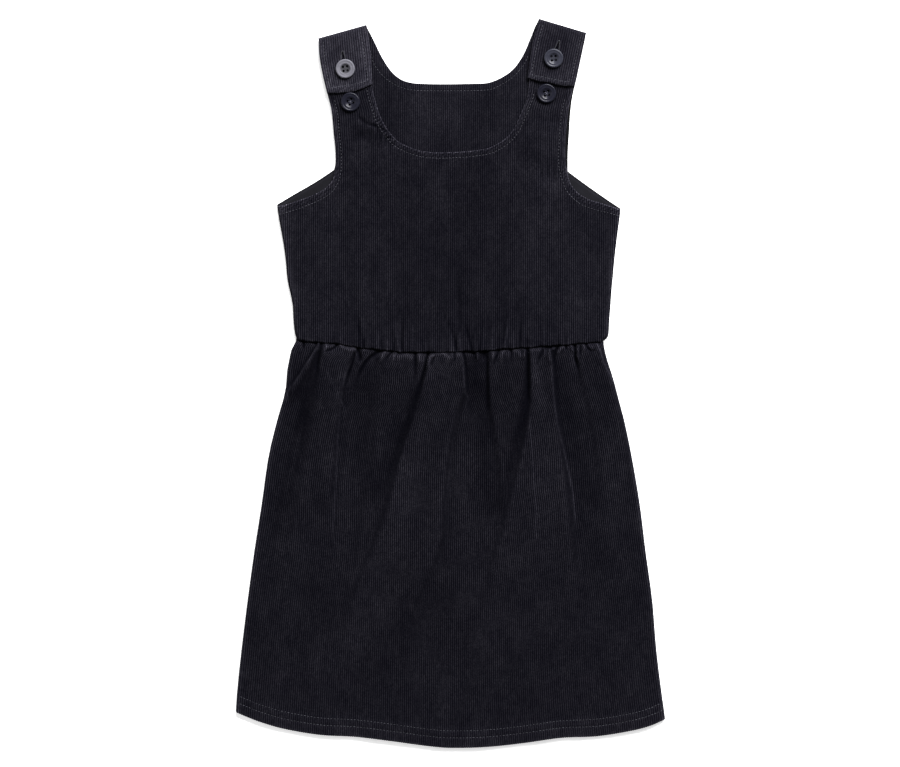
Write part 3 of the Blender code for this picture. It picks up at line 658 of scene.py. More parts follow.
def fold_height(x, y, down):
    total = np.zeros(np.broadcast(x, y).shape)
    softer = 1 + down / 0.026
    for rise, left_slope, right_slope, fade, left, right in FOLDS:
        from_left = (x - along(left, y)) / (left_slope * softer)
        from_right = (along(right, y) - x) / (right_slope * softer)
        low_end = min(left[0][0], right[0][0])
        total += rise * ease(from_left + 0.5) * ease(from_right + 0.5) * ease((y - low_end) / fade)
    return total * (0.3 + 0.7 * ease(down / 0.008))


print("long folds:", len(FOLDS))

# %% [markdown]
# Pile looks pale where it leans towards you and dark where it leans away, so a hand
# brushed over cord leaves marks. Folds get marks of painted light as well: a thin painted
# highlight along a ridge and painted shade in a hollow. The marks are listed like the
# tucks, by how much they change the tone, how wide they are, and the line they follow.

# %% Lie of the pile, with painted light and shade, on the skirt
SKIRT_NAP_AND_SHADING = marked_lines((  # change of tone in percent, width, then across and height along its line
    (40, 80, -945, 277, -900, -17),
    (40, 55, -491, 210, -391, 210),
    (60, 30, -189, 235, -172, 67),
    (25, 60, -38, 126, -29, -143),
    (-25, 60, 164, 109, 197, -143),
    (65, 50, 693, 193, 752, -143),
    (70, 85, 1004, 193, 1105, -143),
    (-35, 67, -1264, 92, -1214, -143, -1264, -311),
    (-25, 101, -1289, -311, -1373, -731, -1432, -1151),
    (-25, 101, -743, 67, -760, -311, -743, -731),
    (-45, 72, -290, -101, -407, -437, -550, -731, -626, -925),
    (-40, 72, 214, 260, 231, -101),
    (-40, 76, 265, -17, 273, -395, 298, -731, 332, -1025),
    (-45, 50, 634, 151, 626, -227, 517, -521, 449, -815, 416, -1084),
    (-34, 110, 955, 151, 995, -227, 1080, -605, 1150, -950),
    (-20, 101, 1130, -747, 1180, -1067, 1239, -1571),
    (-15, 134, -46, -1739, -256, -1991, -508, -2243, -718, -2579),
    (-15, 84, 542, -2453, 710, -2705),
    (-18, 101, -1121, -1529, -1096, -2033),
    (-20, 84, 458, 67, 483, -395),
    (25, 118, -155, 109, -189, -227, -315, -689, -466, -1277, -634, -1697, -827, -2159),
    (20, 101, 710, 109, 752, -395, 819, -1151, 794, -1823),
    (20, 134, -886, -2243, -1180, -2411, -1390, -2495),
    (15, 168, 458, -1487, 416, -2159),
    (20, 67, -1054, 235, -886, 210),
    (130, 7, -794, 286, -836, 176, -878, 84, -903, -34, -920, -151, -945, -437, -962, -857, -987, -1235),
    (60, 9, -1029, 92, -970, -42, -920, -151, -878, -244),
    (200, 7, 107, 130, 113, 59, 122, -76, 164, -143),
    (50, 8, 97, -185, 38, -353, -4, -689, -46, -1067),
    (70, 8, 655, -143, 689, -647, 718, -1067, 718, -1277),
    (160, 7, 844, 151, 869, -143, 899, -353, 962, -605, 1025, -899, 1046, -1151),
    (200, 7, -1130, 294, -1172, 218, -1222, 151, -1256, 84, -1298, 17, -1348, -42, -1373, -92),
    (240, 7, 1231, 328, 1256, 277, 1281, 193, 1306, 126, 1348, 50, 1373, 0),
), unit=100)


def nap_and_fold_shading(marks, x, y):
    """Lighter and darker patches, of brushed pile and of painted light and shade, each strongest on its own
    line.
    """
    tone = np.ones(np.shape(x))
    uneven = 0.78 + 0.22 * np.sin(330 * y + 70 * x) * np.sin(131 * y + 2) + 0.14 * np.sin(910 * y - 240 * x)
    for change, width, line in marks:
        tone = tone * (1 + change * uneven * bell(distance_to(line, x, y), width))
    return tone


print("marks in the pile of the skirt:", len(SKIRT_NAP_AND_SHADING))

# %% [markdown]
# The front skirt puts these together: a base height, highest just below the waist where
# the gathers spring out, then gathers, folds, and the turned-up hem, which is thicker
# and rounds under at its edge. A fold that stands very high sinks under its own
# weight, so the tops are eased down to one crown.

# %% Height of the front skirt
# The rise's points are distance below the waist and height.
SKIRT_RISE = points(
    0, 44, 12, 48, 26, 58, 50, 64, 90, 66, 160, 66, 400, 60, 900, 50, 1600, 45, 2300, 43, 3400, 43
)
SKIRT_FLOOR = 0.0033
SKIRT_CROWN = 0.0091
CROWN_GIVE = 0.0005  # how far a high fold may still rise above the crown
SEAM_DROP = 0.0016  # how far the top edge goes down where it is under the bodice
HEM_EDGE = 0.0012  # how far the hem rounds under
HEM_DEPTH = 0.0155
HEM_ROWS = (0.0084, 0.0143)  # how far the two rows of stitching are above the edge
WAVES = (  # turns across, turns along, start: the slow waves left by a smoothing hand
    (60, 8, 0.3), (95, -14, 1.9), (142, 22, 4.0), (215, -30, 0.8), (31, 40, 2.2), (74, 55, 5.1),
)


def drift_height(x, y):
    return sum(0.00016 * np.sin(across * x + along_it * y + start) for across, along_it, start in WAVES)


def hem_height(above):
    """A turned-up hem: a step where its raw edge ends, a groove at each row, a round edge."""
    step = 0.0004 * ease((HEM_DEPTH + 0.001 - above) / 0.002)
    groove = sum(0.00022 * bell(above - row, 0.0006) for row in HEM_ROWS)
    rounding = HEM_EDGE * (1 - np.sqrt(1 - np.clip(1 - above / HEM_EDGE, 0, 1) ** 2))
    return step - groove - rounding


def skirt_place(share, way):
    """Across and up for a point of the skirt, its two side edges, and the ends of its rib."""
    top, low = skirt_ends(share)
    y = between(low, top, way)
    left, right = along(SKIRT_SIDES, y, 1), along(SKIRT_SIDES, y, 2)
    return between(left, right, share), y, left, right, top, low


def front_skirt_at(share, way):
    x, y, left, right, top, low = skirt_place(share, way)
    down = np.maximum(top - SEAM_TUCK - y, 0)
    gathers = tuck_height(x, y) * (0.65 + 0.35 * ease(down / 0.0025))
    height = along(SKIRT_RISE, down) + gathers + fold_height(x, y, down) + drift_height(x, y)
    above_crown = np.maximum(height - SKIRT_CROWN, 0)
    height = height - above_crown + CROWN_GIVE * np.tanh(above_crown / CROWN_GIVE)
    under_bodice = ease((y - top + SEAM_TUCK + 0.0004) / SEAM_TUCK)
    height = np.maximum(height, SKIRT_FLOOR) - SEAM_DROP * under_bodice
    height = roll_sides(x, left, right, height + hem_height(y - low), True)
    return np.stack((x, y, height), -1)


print("skirt height at its middle in mm:", round(float(front_skirt_at(0.5, 0.5)[2]) * 1000, 1))

# %% [markdown]
# The ribs are one equal width apart along the cloth itself. The panel is much wider
# than the waist, and the spare cloth is tucked away in the creases, so each row gives
# its spare width to the creases it crosses and its ribs crowd together there. Rows lie
# closer together at the hem and the waist, where the shape is busy.

# %% Rows and ribs of the skirt
SKIRT_RIBS = 202
FINE_STEPS = 2400  # how finely a row is measured
HEM_STEPS = (  # heights of the lowest rows, in tenths of a millimetre
    0, 2, 5, 9, 14, 25, 45, 65, 77, 81, 84, 87, 91, 110, 130, 138, 143, 148, 155, 165, 185,
)


def skirt_ways():
    """Rows from the hem, 0, to the waist, 1."""
    hem = metres(HEM_STEPS)
    waist = SKIRT_LENGTH - np.concatenate([[0], np.cumsum(np.geomspace(0.0005, 0.0045, 26))])
    middle = np.linspace(hem[-1], waist[-1], 40)[1:-1]
    return np.concatenate([hem, middle, waist[::-1]]) / SKIRT_LENGTH


def tucked_away(x, y):
    """How strongly each point draws in spare cloth: most in a crease or at the foot of a fold."""
    pull = np.full(x.shape, 0.08)
    for rise, _, _, fade, left, right in FOLDS:
        strength = abs(rise) / 0.002 * ease((y - min(left[0][0], right[0][0])) / fade)
        for line in (left, right):
            pull = pull + strength * bell(x - along(line, y), 0.0020)
    for rise, width, line in TUCKS:
        if rise < 0:
            low = min(height for _, height in line)
            crease = bell(distance_to(line, x, y), width + 0.0004)
            pull = pull + ease((y - low + 0.010) / 0.012) * crease
    return pull


def even_ribs(surface_at, way, pull_at):
    """Shares across, so that each row's ribs are evenly spaced along the cloth."""
    share = np.linspace(0, 1, FINE_STEPS)
    row = surface_at(share, way)
    steps = np.linalg.norm(np.diff(row[:, [0, 2]], axis=0), axis=1)
    pull = pull_at(row[1:, 0], row[1:, 1])
    spare = max(SKIRT_RIBS * RIB - steps.sum(), 0)
    walked = np.concatenate([[0], np.cumsum(steps + spare * pull / pull.sum())])
    return np.interp(np.linspace(0, walked[-1], SKIRT_RIBS * STEPS + 1), walked, share)


def skirt_sheet(surface_at, ways, pull_at):
    shares = np.array([even_ribs(surface_at, way, pull_at) for way in ways])
    return surface_at(shares, ways[:, None])


ways = skirt_ways()
print("rows of the skirt:", len(ways))

# %% [markdown]
# Light hardly reaches in among the gathers, so the cloth is painted darkest just below
# the waist as shade and lightens towards the hem. The hem's edge has a line of worn pile
# and painted highlight, its double layer and the side seams are lighter, and every puff
# of the gathers has a painted highlight with painted shade in the creases between.

# %% Tone of the skirt
SKIRT_SHADE = (  # distance below the waist, tone
    (0.000, 0.54), (0.010, 0.60), (0.018, 0.64), (0.028, 0.65), (0.042, 0.64), (0.060, 0.70),
    (0.110, 0.87), (0.200, 0.92), (0.300, 1.03), (0.340, 1.05),
)


def skirt_tone(surface, ways):
    above = ways[:, None] * SKIRT_LENGTH
    x, y = surface[..., 0], surface[..., 1]
    sides = np.minimum(x - x[:, :1], x[:, -1:] - x)
    hem = 1 + 0.20 * ease((HEM_DEPTH - above) / 0.002)
    down = along(WAIST, x) - y
    # Painted shade below the waist, and a narrow painted band of light just under the seam.
    shaded = along(SKIRT_SHADE, down) + 0.10 * bell(down, 0.006)
    # A painted highlight on each puff of the gathers and painted shade in each crease.
    gathered = np.clip(tuck_height(x, y) / 0.0015, -1, 1)
    shaded = shaded * (1 + np.where(gathered > 0, 0.8, 0.15) * gathered)
    uneven = np.sin(420 * x + 260 * y) * np.sin(173 * x - 3 * y)
    shaded = shaded * (1 + 0.22 * uneven * bell(down, 0.012))
    seams = 1 + 0.8 * bell(sides, 0.0015)
    return hem * shaded * seams * edge_wear_and_highlight(above, 0.0009) * nap_and_fold_shading(SKIRT_NAP_AND_SHADING, x, y)


surface = skirt_sheet(front_skirt_at, ways, tucked_away)
tone = skirt_tone(surface, ways)
print("darkest and lightest tone:", tone.min().round(2), tone.max().round(2))

# %% [markdown]
# Now the panel itself is cut. Crowded ribs are squeezed flat and lie in shadow, so they
# are lower and painted darker where they stand close. Near the waist the ribs stand out
# more, as the cloth there is held and hardly worn, and the top of each rib has a
# stronger painted highlight.

# %% Front of the skirt
SKIRT_TILES = ((0.0, 0.0, 1.0, 0.62), (0.0, 0.64, 1.0, 0.94), (0.0, 0.96, 1.0, 0.99))


def hem_wall(ways, columns, extra):
    """The skirt's wall, thicker where the hem is turned up inside."""
    return SKIRT_WALL + extra * (ways < HEM_DEPTH / SKIRT_LENGTH)[:, None] * np.ones(columns)


spacing = np.gradient(surface[..., 0], axis=1) * STEPS
apart = np.clip(spacing / RIB, 0, 1)
lower = ease(1.1 - ways / 0.9)[:, None]
down = along(WAIST, surface[..., 0]) - surface[..., 1]
front_skirt_cut = CutPiece("front_skirt_cord")
front_skirt_cut.add_sheet(
    surface, normals_of(surface), hem_wall(ways, surface.shape[1], 0.0007), SKIRT_TILES, WHOLE_EDGE,
    tone=tone * between(0.55, 1.0, apart),
    relief=between(1.35, 1.05, lower) * apart,
    # the painted highlight on the top of each rib
    crest_highlight=between(0.55, -0.08, lower) + 0.35 * bell(down, 0.012),
)
front_skirt = front_skirt_cut.finish(cord, wrong_side)
print("widest rib in mm:", (spacing.max() * 1000).round(2))

# %% [markdown]
# The back of the skirt is the same cut. It lies on the table, so its right side is
# underneath and almost flat: the gathers only lift it a little near the waist. It is
# hardly seen, so every other row is enough.

# %% Back of the skirt
TABLE_GAP = 0.0004  # room for the ribs under the back
HEM_ROW_COUNT = len(HEM_STEPS)
WAIST_ROW = 60  # from here up the rows lie close


def back_skirt_at(share, way):
    x, y, left, right, top, low = skirt_place(share, way)
    down = np.maximum(top - SEAM_TUCK - y, 0)
    sides = ease(np.minimum(share, 1 - share) / 0.02)
    lift = sides * (0.0004 * np.exp(-down / 0.014) - 0.6 * tuck_height(-x, y))
    height = TABLE_GAP + np.maximum(lift, 0) - hem_height(y - low) * 0.6
    return np.stack((x, y, roll_sides(x, left, right, height, False)), -1)


def back_pull(x, y):
    """The back draws its spare cloth in under its own gathers."""
    return 1 + 8 * bell(y - 0.030, 0.020) * (tuck_height(-x, y) > 0.0002)


hem_rows, middle_rows = range(0, HEM_ROW_COUNT, 2), range(HEM_ROW_COUNT + 1, WAIST_ROW, 2)
waist_rows = [*range(WAIST_ROW, len(ways) - 1, 2), len(ways) - 1]
back_ways = ways[[*hem_rows, *middle_rows, *waist_rows]]
surface = skirt_sheet(back_skirt_at, back_ways, back_pull)
back_skirt_cut = CutPiece("back_skirt_cord")
back_skirt_cut.add_sheet(
    surface, -normals_of(surface), hem_wall(back_ways, surface.shape[1], 0.0006), SKIRT_TILES, WHOLE_EDGE,
    turn=True,
)
back_skirt = back_skirt_cut.finish(cord, wrong_side)

# %% [markdown]
# The bodice is cut flat, with its ribs upright from side to side, so its columns stand
# at a fixed distance and the side edges cut across them. The panel has five zones:
# under the left arm, the left strap, the neck, the right strap and under the right
# arm. `top_edge` reads the armholes and the neck, and a slanting line across each
# strap marks where the strap goes on as a strip of its own.

# %% Outline of the bodice
# The side edges' rows are height, left edge, right edge. All other points are across and height.
BODICE_SIDES = metres((
    (345, -1262, 1270), (358, -1278, 1290), (375, -1292, 1312), (395, -1300, 1324), (420, -1306, 1329),
    (479, -1314, 1331), (563, -1320, 1336), (647, -1323, 1344), (748, -1342, 1350), (865, -1368, 1361),
    (1000, -1380, 1373), (1134, -1396, 1387), (1268, -1419, 1404), (1386, -1441, 1420),
    (1495, -1455, 1432),
))
FRONT_ARMHOLE_LEFT = points(
    -1455, 1483, -1390, 1495, -1302, 1524, -1194, 1562, -1109, 1601, -1046, 1639, -1002, 1687, -979, 1734
)
FRONT_NECK = points(
    -603, 2275, -571, 2201, -533, 2134, -487, 2075, -438, 2027, -344, 1980, -249, 1949, -108, 1935,
    34, 1939, 175, 1949, 317, 1972, 411, 2016, 462, 2054, 505, 2097, 544, 2155, 575, 2226, 601, 2285
)
FRONT_ARMHOLE_RIGHT = points(
    987, 1739, 1000, 1693, 1027, 1644, 1070, 1596, 1160, 1543, 1242, 1518, 1327, 1491, 1432, 1453
)
BACK_ARMHOLE_LEFT = points(-1455, 1499, -1302, 1590, -1130, 1690, -977, 1791)
BACK_ARMHOLE_RIGHT = points(985, 1777, 1134, 1667, 1306, 1546, 1432, 1462)
BACK_NECK = points(
    -626, 2839, -596, 2776, -567, 2722, -528, 2659, -485, 2604, -441, 2566, -391, 2538, -297, 2517,
    -60, 2510, 270, 2516, 323, 2523, 387, 2545, 449, 2577, 505, 2616, 554, 2667, 599, 2734, 632, 2797,
    659, 2864
)
FRONT_EDGES = (FRONT_ARMHOLE_LEFT, FRONT_NECK, FRONT_ARMHOLE_RIGHT)
BACK_EDGES = (BACK_ARMHOLE_LEFT, BACK_NECK, BACK_ARMHOLE_RIGHT)
STRAP_RIBS = {True: 21, False: 22}  # front, back
NECK_RIBS = {True: 67, False: 71}
UNDERARM_RIBS = 27


def zone_marks(edges):
    arm_left, neck, arm_right = edges
    return arm_left[-1][0], neck[0][0], neck[-1][0], arm_right[0][0]


def top_edge(x, edges):
    arm_left, neck, arm_right = edges
    marks = zone_marks(edges)
    height = np.where(x < marks[1], np.interp(x, marks[:2], (arm_left[-1][1], neck[0][1])), along(neck, x))
    height = np.where(x > marks[2], np.interp(x, marks[2:], (neck[-1][1], arm_right[0][1])), height)
    height = np.where(x < marks[0], along(arm_left, x), height)
    return np.where(x > marks[3], along(arm_right, x), height)


def bodice_columns(edges, front):
    marks = zone_marks(edges)
    under = np.arange(1, UNDERARM_RIBS * STEPS + 1) * RIB / STEPS
    strap, neck = STRAP_RIBS[front] * STEPS, NECK_RIBS[front] * STEPS
    middle = [
        np.linspace(marks[0], marks[1], strap + 1)[:-1],
        np.linspace(marks[1], marks[2], neck + 1)[:-1],
        np.linspace(marks[2], marks[3], strap + 1),
    ]
    return np.concatenate([marks[0] - under[::-1], *middle, marks[3] + under])


print("columns of points across the bodice:", len(bodice_columns(FRONT_EDGES, True)))

# %% [markdown]
# Sewing leaves marks: the cloth rounds over at every turned edge, each row of
# topstitching sinks a fine groove, and between the two the cloth puckers a little,
# most of all where the neck meets the left strap. A row keeps one distance from its
# edge, so `beside` can find it from the outline itself.

# %% Turned edges, stitched grooves and puckers
KNOT = (-0.062, 0.215)  # where the stitching at the left of the neck is drawn tightest
PUCKER_REACH = 0.0065
LINE_STEPS = 800  # how finely a line is measured
LOOK_AHEAD = 0.0005  # how far before and behind a point its direction is taken


def walk(line, step):
    """Points one step apart along a smooth line through the given points, with directions."""
    line = np.array(line, float)
    run = np.concatenate([[0], np.cumsum(np.linalg.norm(np.diff(line, axis=0), axis=1))])
    line, run = line[np.append(True, np.diff(run) > 0)], run[np.append(True, np.diff(run) > 0)]
    fine = np.linspace(0, run[-1], LINE_STEPS)
    smooth = np.stack([along(tuple(zip(run, line[:, k])), fine) for k in (0, 1)], 1)
    run = np.concatenate([[0], np.cumsum(np.linalg.norm(np.diff(smooth, axis=0), axis=1))])
    at = np.arange(step / 2, run[-1], step)

    def place(run_at):
        return np.stack([np.interp(run_at, run, smooth[:, k]) for k in (0, 1)], 1)

    direction = place(at + LOOK_AHEAD) - place(at - LOOK_AHEAD)
    return place(at), direction / np.linalg.norm(direction, axis=1, keepdims=True)


def beside(line, offset, step=0.004):
    """The same line moved sideways, to the right as you walk along it."""
    middle, direction = walk(line, step)
    return middle + offset * np.stack((direction[:, 1], -direction[:, 0]), 1)


def turned_edge(distance, radius=0.0010, drop=0.0008):
    return -drop * (1 - np.sqrt(1 - np.clip(1 - distance / radius, 0, 1) ** 2))


def stitched_groove(distance, depth=0.00025, width=0.0006):
    return -depth * bell(distance, width)


def pucker(x, y, distance):
    """From about -1 to 1: small uneven bumps that die away from a stitched edge."""
    bumps = np.sin(1650 * x + 900 * y) * np.sin(800 * x - 2200 * y + 1.1)
    bumps = bumps + 0.6 * np.sin(1150 * x - 2000 * y)
    knotted = 1 + 0.9 * bell(x - KNOT[0], 0.012) * bell(y - KNOT[1], 0.020)
    return knotted * bumps / 1.6 * bell(distance, PUCKER_REACH)


print("drop at a turned edge in mm:", round(float(turned_edge(0.0)) * 1000, 2))

# %% [markdown]
# The front bodice is lined with its own facing, so it lies smoother than the skirt. It
# stands highest at the waist, where the gathers push up under it. Soft creases cross it
# where the dress was last folded, and the gathers draw small upright ones in it just
# above the seam. Both kinds are listed, the second by where each starts and leans to.

# %% Creases of the front bodice
# The rise's points are distance above the seam and height.
BODICE_RISE = points(0, 73, 40, 70, 120, 58, 280, 50, 600, 46, 1200, 44, 3000, 44)
CREASES = marked_lines((  # rise, width, then across and height along its line
    (10, 35, -760, 330, -755, 520),
    (7, 30, -391, 290, -391, 370),
    (7, 30, -147, 290, -150, 400),
    (8, 32, 256, 290, 260, 440),
    (6, 40, 700, 310, 700, 400),
    (6, 60, -811, 1050, -668, 546),
    (6, 60, 617, 832, 416, 445),
    (-5, 70, 88, 1050, 88, 546),
    (-7, 16, -770, 512, -749, 382, -735, 286),
    (-3, 22, 71, 832, 80, 470),
    (-7, 14, -46, 546, 4, 462, 38, 353, 46, 277),
    (-5, 12, -416, 380, -407, 286),
    (-4, 14, 200, 470, 190, 370),
    (-4, 14, 458, 500, 441, 330),
    (-10, 10, -765, 2236, -715, 2190, -645, 2162, -592, 2148),
    (-7, 45, -745, 2083, -590, 2075),
    (-8, 9, -580, 2055, -500, 2060),
    (-6, 8, -570, 2130, -525, 2110),
    (-6, 8, -485, 1995, -455, 2030),
    (-8, 18, -542, 2041, -500, 2000),
    (3, 30, 640, 2340, 960, 2310),
    (-4, 30, 680, 2230, 960, 2190),
    (3, 35, 640, 2110, 900, 2060),
    (-6, 20, 770, 1770, 910, 1752),
    (-5, 20, 1373, 1268, 1400, 1151),
    (5, 14, -1400, 1400, -1310, 1392),
    (5, 14, -1400, 1352, -1320, 1346),
    (5, 16, -1400, 1290, -1330, 1282),
    (5, 16, -1390, 1200, -1330, 1190),
))
SEAM_CREASES = metres((  # rise, across at the seam, across at the top, how tall
    (-6, -765, -770, 300), (-5, -725, -730, 100), (-5, -575, -585, 110), (-3, -475, -480, 100),
    (-5, -399, -402, 320), (-5, 46, 40, 160), (-6, 180, 110, 300), (-5, 245, 278, 280),
    (-4, 407, 404, 180), (-5, 584, 592, 280), (-3, 643, 640, 100), (-3, 905, 900, 100),
    (-3, 970, 975, 100), (3, -920, -920, 100), (4, -617, -610, 180), (4, -533, -530, 90),
    (4, -430, -485, 300), (3, -330, -312, 300), (3, -206, -206, 90), (4, 85, 70, 180), (3, 0, 6, 200),
    (3, 215, 180, 300), (3, 345, 372, 300), (4, 452, 494, 260), (4, 533, 530, 100), (3, 785, 785, 200),
    (2, 1130, 1214, 200),
))


def seam_creases(x, above):
    """Small upright creases that the gathers draw in the bodice, just above the seam."""
    total = np.zeros(np.shape(x))
    for rise, at_seam, at_top, tall in SEAM_CREASES:
        line = between(at_seam, at_top, above / tall)
        total = total + rise * bell(x - line, 0.0012) * ease(2 * (1 - above / tall))
    return total


print("creases on the front bodice:", len(CREASES), "and", len(SEAM_CREASES), "at the seam")

# %% [markdown]
# Each front strap goes on from the body between two long edges, which lean out towards
# the shoulder. The rows of stitching down the armholes are listed, and the one round
# the neck is the neck edge itself, moved in by the width of a presser foot.

# %% Straps and stitching of the front bodice
# The stitching's points are across and height, and the strap edges' are height and across.
FRONT_STITCHING = {
    "left_armhole": points(
        -973, 2378, -966, 2344, -945, 2243, -936, 2125, -922, 1974, -915, 1873, -920, 1772, -930, 1722,
        -958, 1655, -1008, 1592, -1079, 1546, -1180, 1499, -1289, 1459, -1382, 1430, -1436, 1415
    ),
    "right_armhole": points(
        958, 2385, 949, 2344, 936, 2276, 922, 2167, 914, 2041, 906, 1890, 914, 1789, 937, 1705, 975, 1613,
        1027, 1554, 1091, 1502, 1155, 1474, 1228, 1451, 1318, 1430, 1407, 1406
    ),
}
FRONT_STRAPS = (
    points(
        1734, -979, 1806, -966, 1957, -966, 2083, -979, 2293, -1000, 2419, -1031, 2579, -1067,
        2780, -1092
    ),
    points(2275, -603, 2352, -626, 2436, -648, 2629, -675, 2848, -703),
    points(2285, 601, 2345, 623, 2415, 648, 2612, 668, 2881, 697),
    points(
        1739, 987, 1831, 967, 1930, 963, 2056, 965, 2195, 978, 2307, 993, 2391, 1008, 2489, 1030,
        2814, 1085
    ),
)


def turned(table):
    """A table of height and across as points of across and height."""
    return tuple((x, y) for y, x in table)


FRONT_OUTLINE = (
    FRONT_ARMHOLE_LEFT + turned(FRONT_STRAPS[0]),
    turned(FRONT_STRAPS[1])[::-1] + FRONT_NECK + turned(FRONT_STRAPS[2]),
    turned(FRONT_STRAPS[3])[::-1] + FRONT_ARMHOLE_RIGHT,
)
NECK_ROW = 0.0048  # from the edge to its stitching
neck_row = beside(FRONT_OUTLINE[1], NECK_ROW)
FRONT_STITCHING["neck"] = neck_row[neck_row[:, 1] < 0.247]  # the tabs cover the rest


def nearest_edge(lines, x, y):
    return np.minimum.reduce([distance_to(line, x, y) for line in lines])


print("rows of stitching:", ", ".join(FRONT_STITCHING))

# %% [markdown]
# The bodice has brushed patches and painted light and shade, as the skirt has. It is
# painted darker towards the gathers, as shade. Along the turned edges it is pale with worn
# pile and a painted highlight, the puckers beside them and the creases above the seam
# carry painted highlight and shade, and the seam is lighter, unevenly.

# %% Lie of the pile, with painted light and shade, on the front bodice
BODICE_NAP_AND_SHADING = marked_lines((  # change of tone in percent, width, then across and height along its line
    (-25, 80, 189, 310, 189, 480),
    (-22, 60, -769, 300, -769, 420),
    (22, 45, 491, 320, 491, 420),
    (-20, 35, -470, 280, -470, 400),
    (-20, 30, 575, 300, 575, 420),
    (-55, 66, -770, 2105, -680, 2090, -590, 2075),
    (-30, 12, -765, 2236, -715, 2190, -645, 2162, -592, 2148),
    (35, 12, -690, 2155, -610, 2130),
    (-40, 59, 601, 1940, 819, 1865, 903, 1840),
    (-20, 118, 164, 1789, 231, 1495),
    (-25, 35, -811, 680, -780, 460),
    (-25, 29, 71, 832, 80, 470),
    (-30, 25, 458, 596, 441, 386),
    (-25, 25, -382, 563, -382, 386),
    (-20, 34, -651, 1067, -651, 773),
    (-20, 34, 567, 773, 559, 596),
    (-20, 67, -1121, 1159, -1117, 1159),
    (35, 50, 752, 1672, 861, 1613),
    (35, 34, 816, 1515, 820, 1515),
    (20, 101, -113, 1714, -80, 1478),
    (20, 151, -1298, 832, -1012, 487),
    (20, 168, 1037, 823, 1130, 613),
    (15, 50, -533, 1067, -517, 773),
    (15, 101, -1390, 1420, -1222, 1285),
    (25, 118, 819, 2293, 853, 1747),
    (-18, 84, -827, 1747, -844, 1243, -794, 781),
    (12, 118, -1054, 1705, -1012, 1201),
    (14, 118, 727, 1411, 685, 697),
    (-15, 101, 416, 1537, 483, 865, 458, 613),
    (-15, 218, -424, 1621, -382, 697),
    (-12, 185, 122, 1369, 164, 613),
    (-16, 400, 0, 1450, 0, 780),
    (25, 42, -1424, 1537, -1382, 1117, -1323, 529),
    (25, 42, 1415, 1495, 1365, 1033, 1348, 529),
), unit=100)


def front_bodice_tone(x, y):
    above = y - along(WAIST, x)
    edge = nearest_edge(FRONT_OUTLINE, x, y)
    seam = 1 + 0.5 * bell(above, 0.0012) * (1 + 0.6 * np.sin(310 * x) * np.sin(97 * x + 1))
    band = 1 + 0.18 * ease((NECK_ROW - edge) / 0.001)
    shade = 1 - 0.30 * bell(above, 0.028)
    # Painted shade in the creases above the seam and painted highlight on their ridges.
    crease_shading = np.clip(1 + 550 * seam_creases(x, above), 0.4, 1.4)
    # Worn pile and a painted highlight along the edges, and painted light and shade on the puckers.
    wear_and_painted_light = edge_wear_and_highlight(edge, 0.0006) * (1 + 0.75 * pucker(x, y, edge))
    return shade * crease_shading * wear_and_painted_light * seam * band * nap_and_fold_shading(BODICE_NAP_AND_SHADING, x, y)


print("marks in the pile of the bodice:", len(BODICE_NAP_AND_SHADING))

# %% [markdown]
# Height adds up in the same way: the rise, the creases, the edges with their puckers,
# and a groove under each row. At the bottom the bodice comes down over the top of the
# skirt, a little more here and less there, as a seam pulled by gathers does.

# %% Height of the front bodice
def overhang(x):
    """How far the bodice comes down over the skirt's top edge."""
    return 0.0007 + 0.0006 * np.sin(290 * x + 1) * np.sin(113 * x) + 0.0002 * np.sin(1200 * x + 2)


def front_bodice_height(x, y):
    above = y - along(WAIST, x)
    height = along(BODICE_RISE, above)
    for rise, width, line in CREASES:
        height = height + rise * bell(distance_to(line, x, y), width)
    edge = nearest_edge(FRONT_OUTLINE, x, y)
    height = height + turned_edge(edge) + 0.00020 * pucker(x, y, edge) * ease(edge / 0.001)
    height = height + seam_creases(x, above)
    for row in FRONT_STITCHING.values():
        height = height + stitched_groove(distance_to(row, x, y))
    return height + turned_edge(above + overhang(x), 0.0016, 0.0014)


chest = front_bodice_height(np.array([0.0]), np.array([0.12]))
print("height at the chest in mm:", round(float(chest[0]) * 1000, 1))

# %% [markdown]
# The body of the bodice is one grid. Where a column would stand outside a side edge it
# is moved onto the edge and loses its rib, and the spare cells close up when equal
# points are merged. Rows lie closer together near the neck and armholes, where the
# stitching is, and near the seam.

# %% Rows and columns of the bodice
BELOW_EDGE = (0, 0.2, 0.45, 0.8, 1.3, 2.2, 3.3, 4.2, 4.7, 5.1, 5.5, 5.9, 6.4, 7.2, 8.8)  # millimetres
ABOVE_SEAM = (0, 0.25, 0.6, 1.1, 1.8, 2.8, 4.2, 6.2, 9.0, 12.5, 17.0)
MIDDLE_ROWS = 24


def bodice_ways(reach=0.165):
    edge, low = 1 - np.array(BELOW_EDGE) / 1000 / reach, np.array(ABOVE_SEAM) / 1000 / reach
    return np.concatenate([low, np.linspace(low[-1], edge[-1], MIDDLE_ROWS)[1:-1], edge[::-1]])


def bodice_body(edges, front, ways):
    columns = bodice_columns(edges, front)

    def height_at(x, way):
        return between(along(WAIST, x) - overhang(x), top_edge(x, edges), way)

    sides = []
    for side, guess in ((1, -0.13), (2, 0.13)):
        x = np.full(len(ways), guess)
        for _ in range(12):
            x = along(BODICE_SIDES, height_at(x, ways), side)
        sides.append(x[:, None])
    x = np.clip(columns[None, :], *sides)
    y = height_at(x, ways[:, None])
    inside = (columns > sides[0]) & (columns < sides[1])
    return x, y, sides, inside.astype(float)


def open_top(edges, front):
    """Which ribs end in a cut edge at the top: all but those that go on into a strap."""
    strap, neck = STRAP_RIBS[front], NECK_RIBS[front]
    zones = [(UNDERARM_RIBS, True), (strap, False), (neck, True), (strap, False), (UNDERARM_RIBS, True)]
    return np.concatenate([np.full(count, is_open) for count, is_open in zones])


def upright(grid, sign=1.0):
    return np.broadcast_to(np.array([0, 0, sign]), grid.shape)


print("rows of the bodice:", len(bodice_ways()))
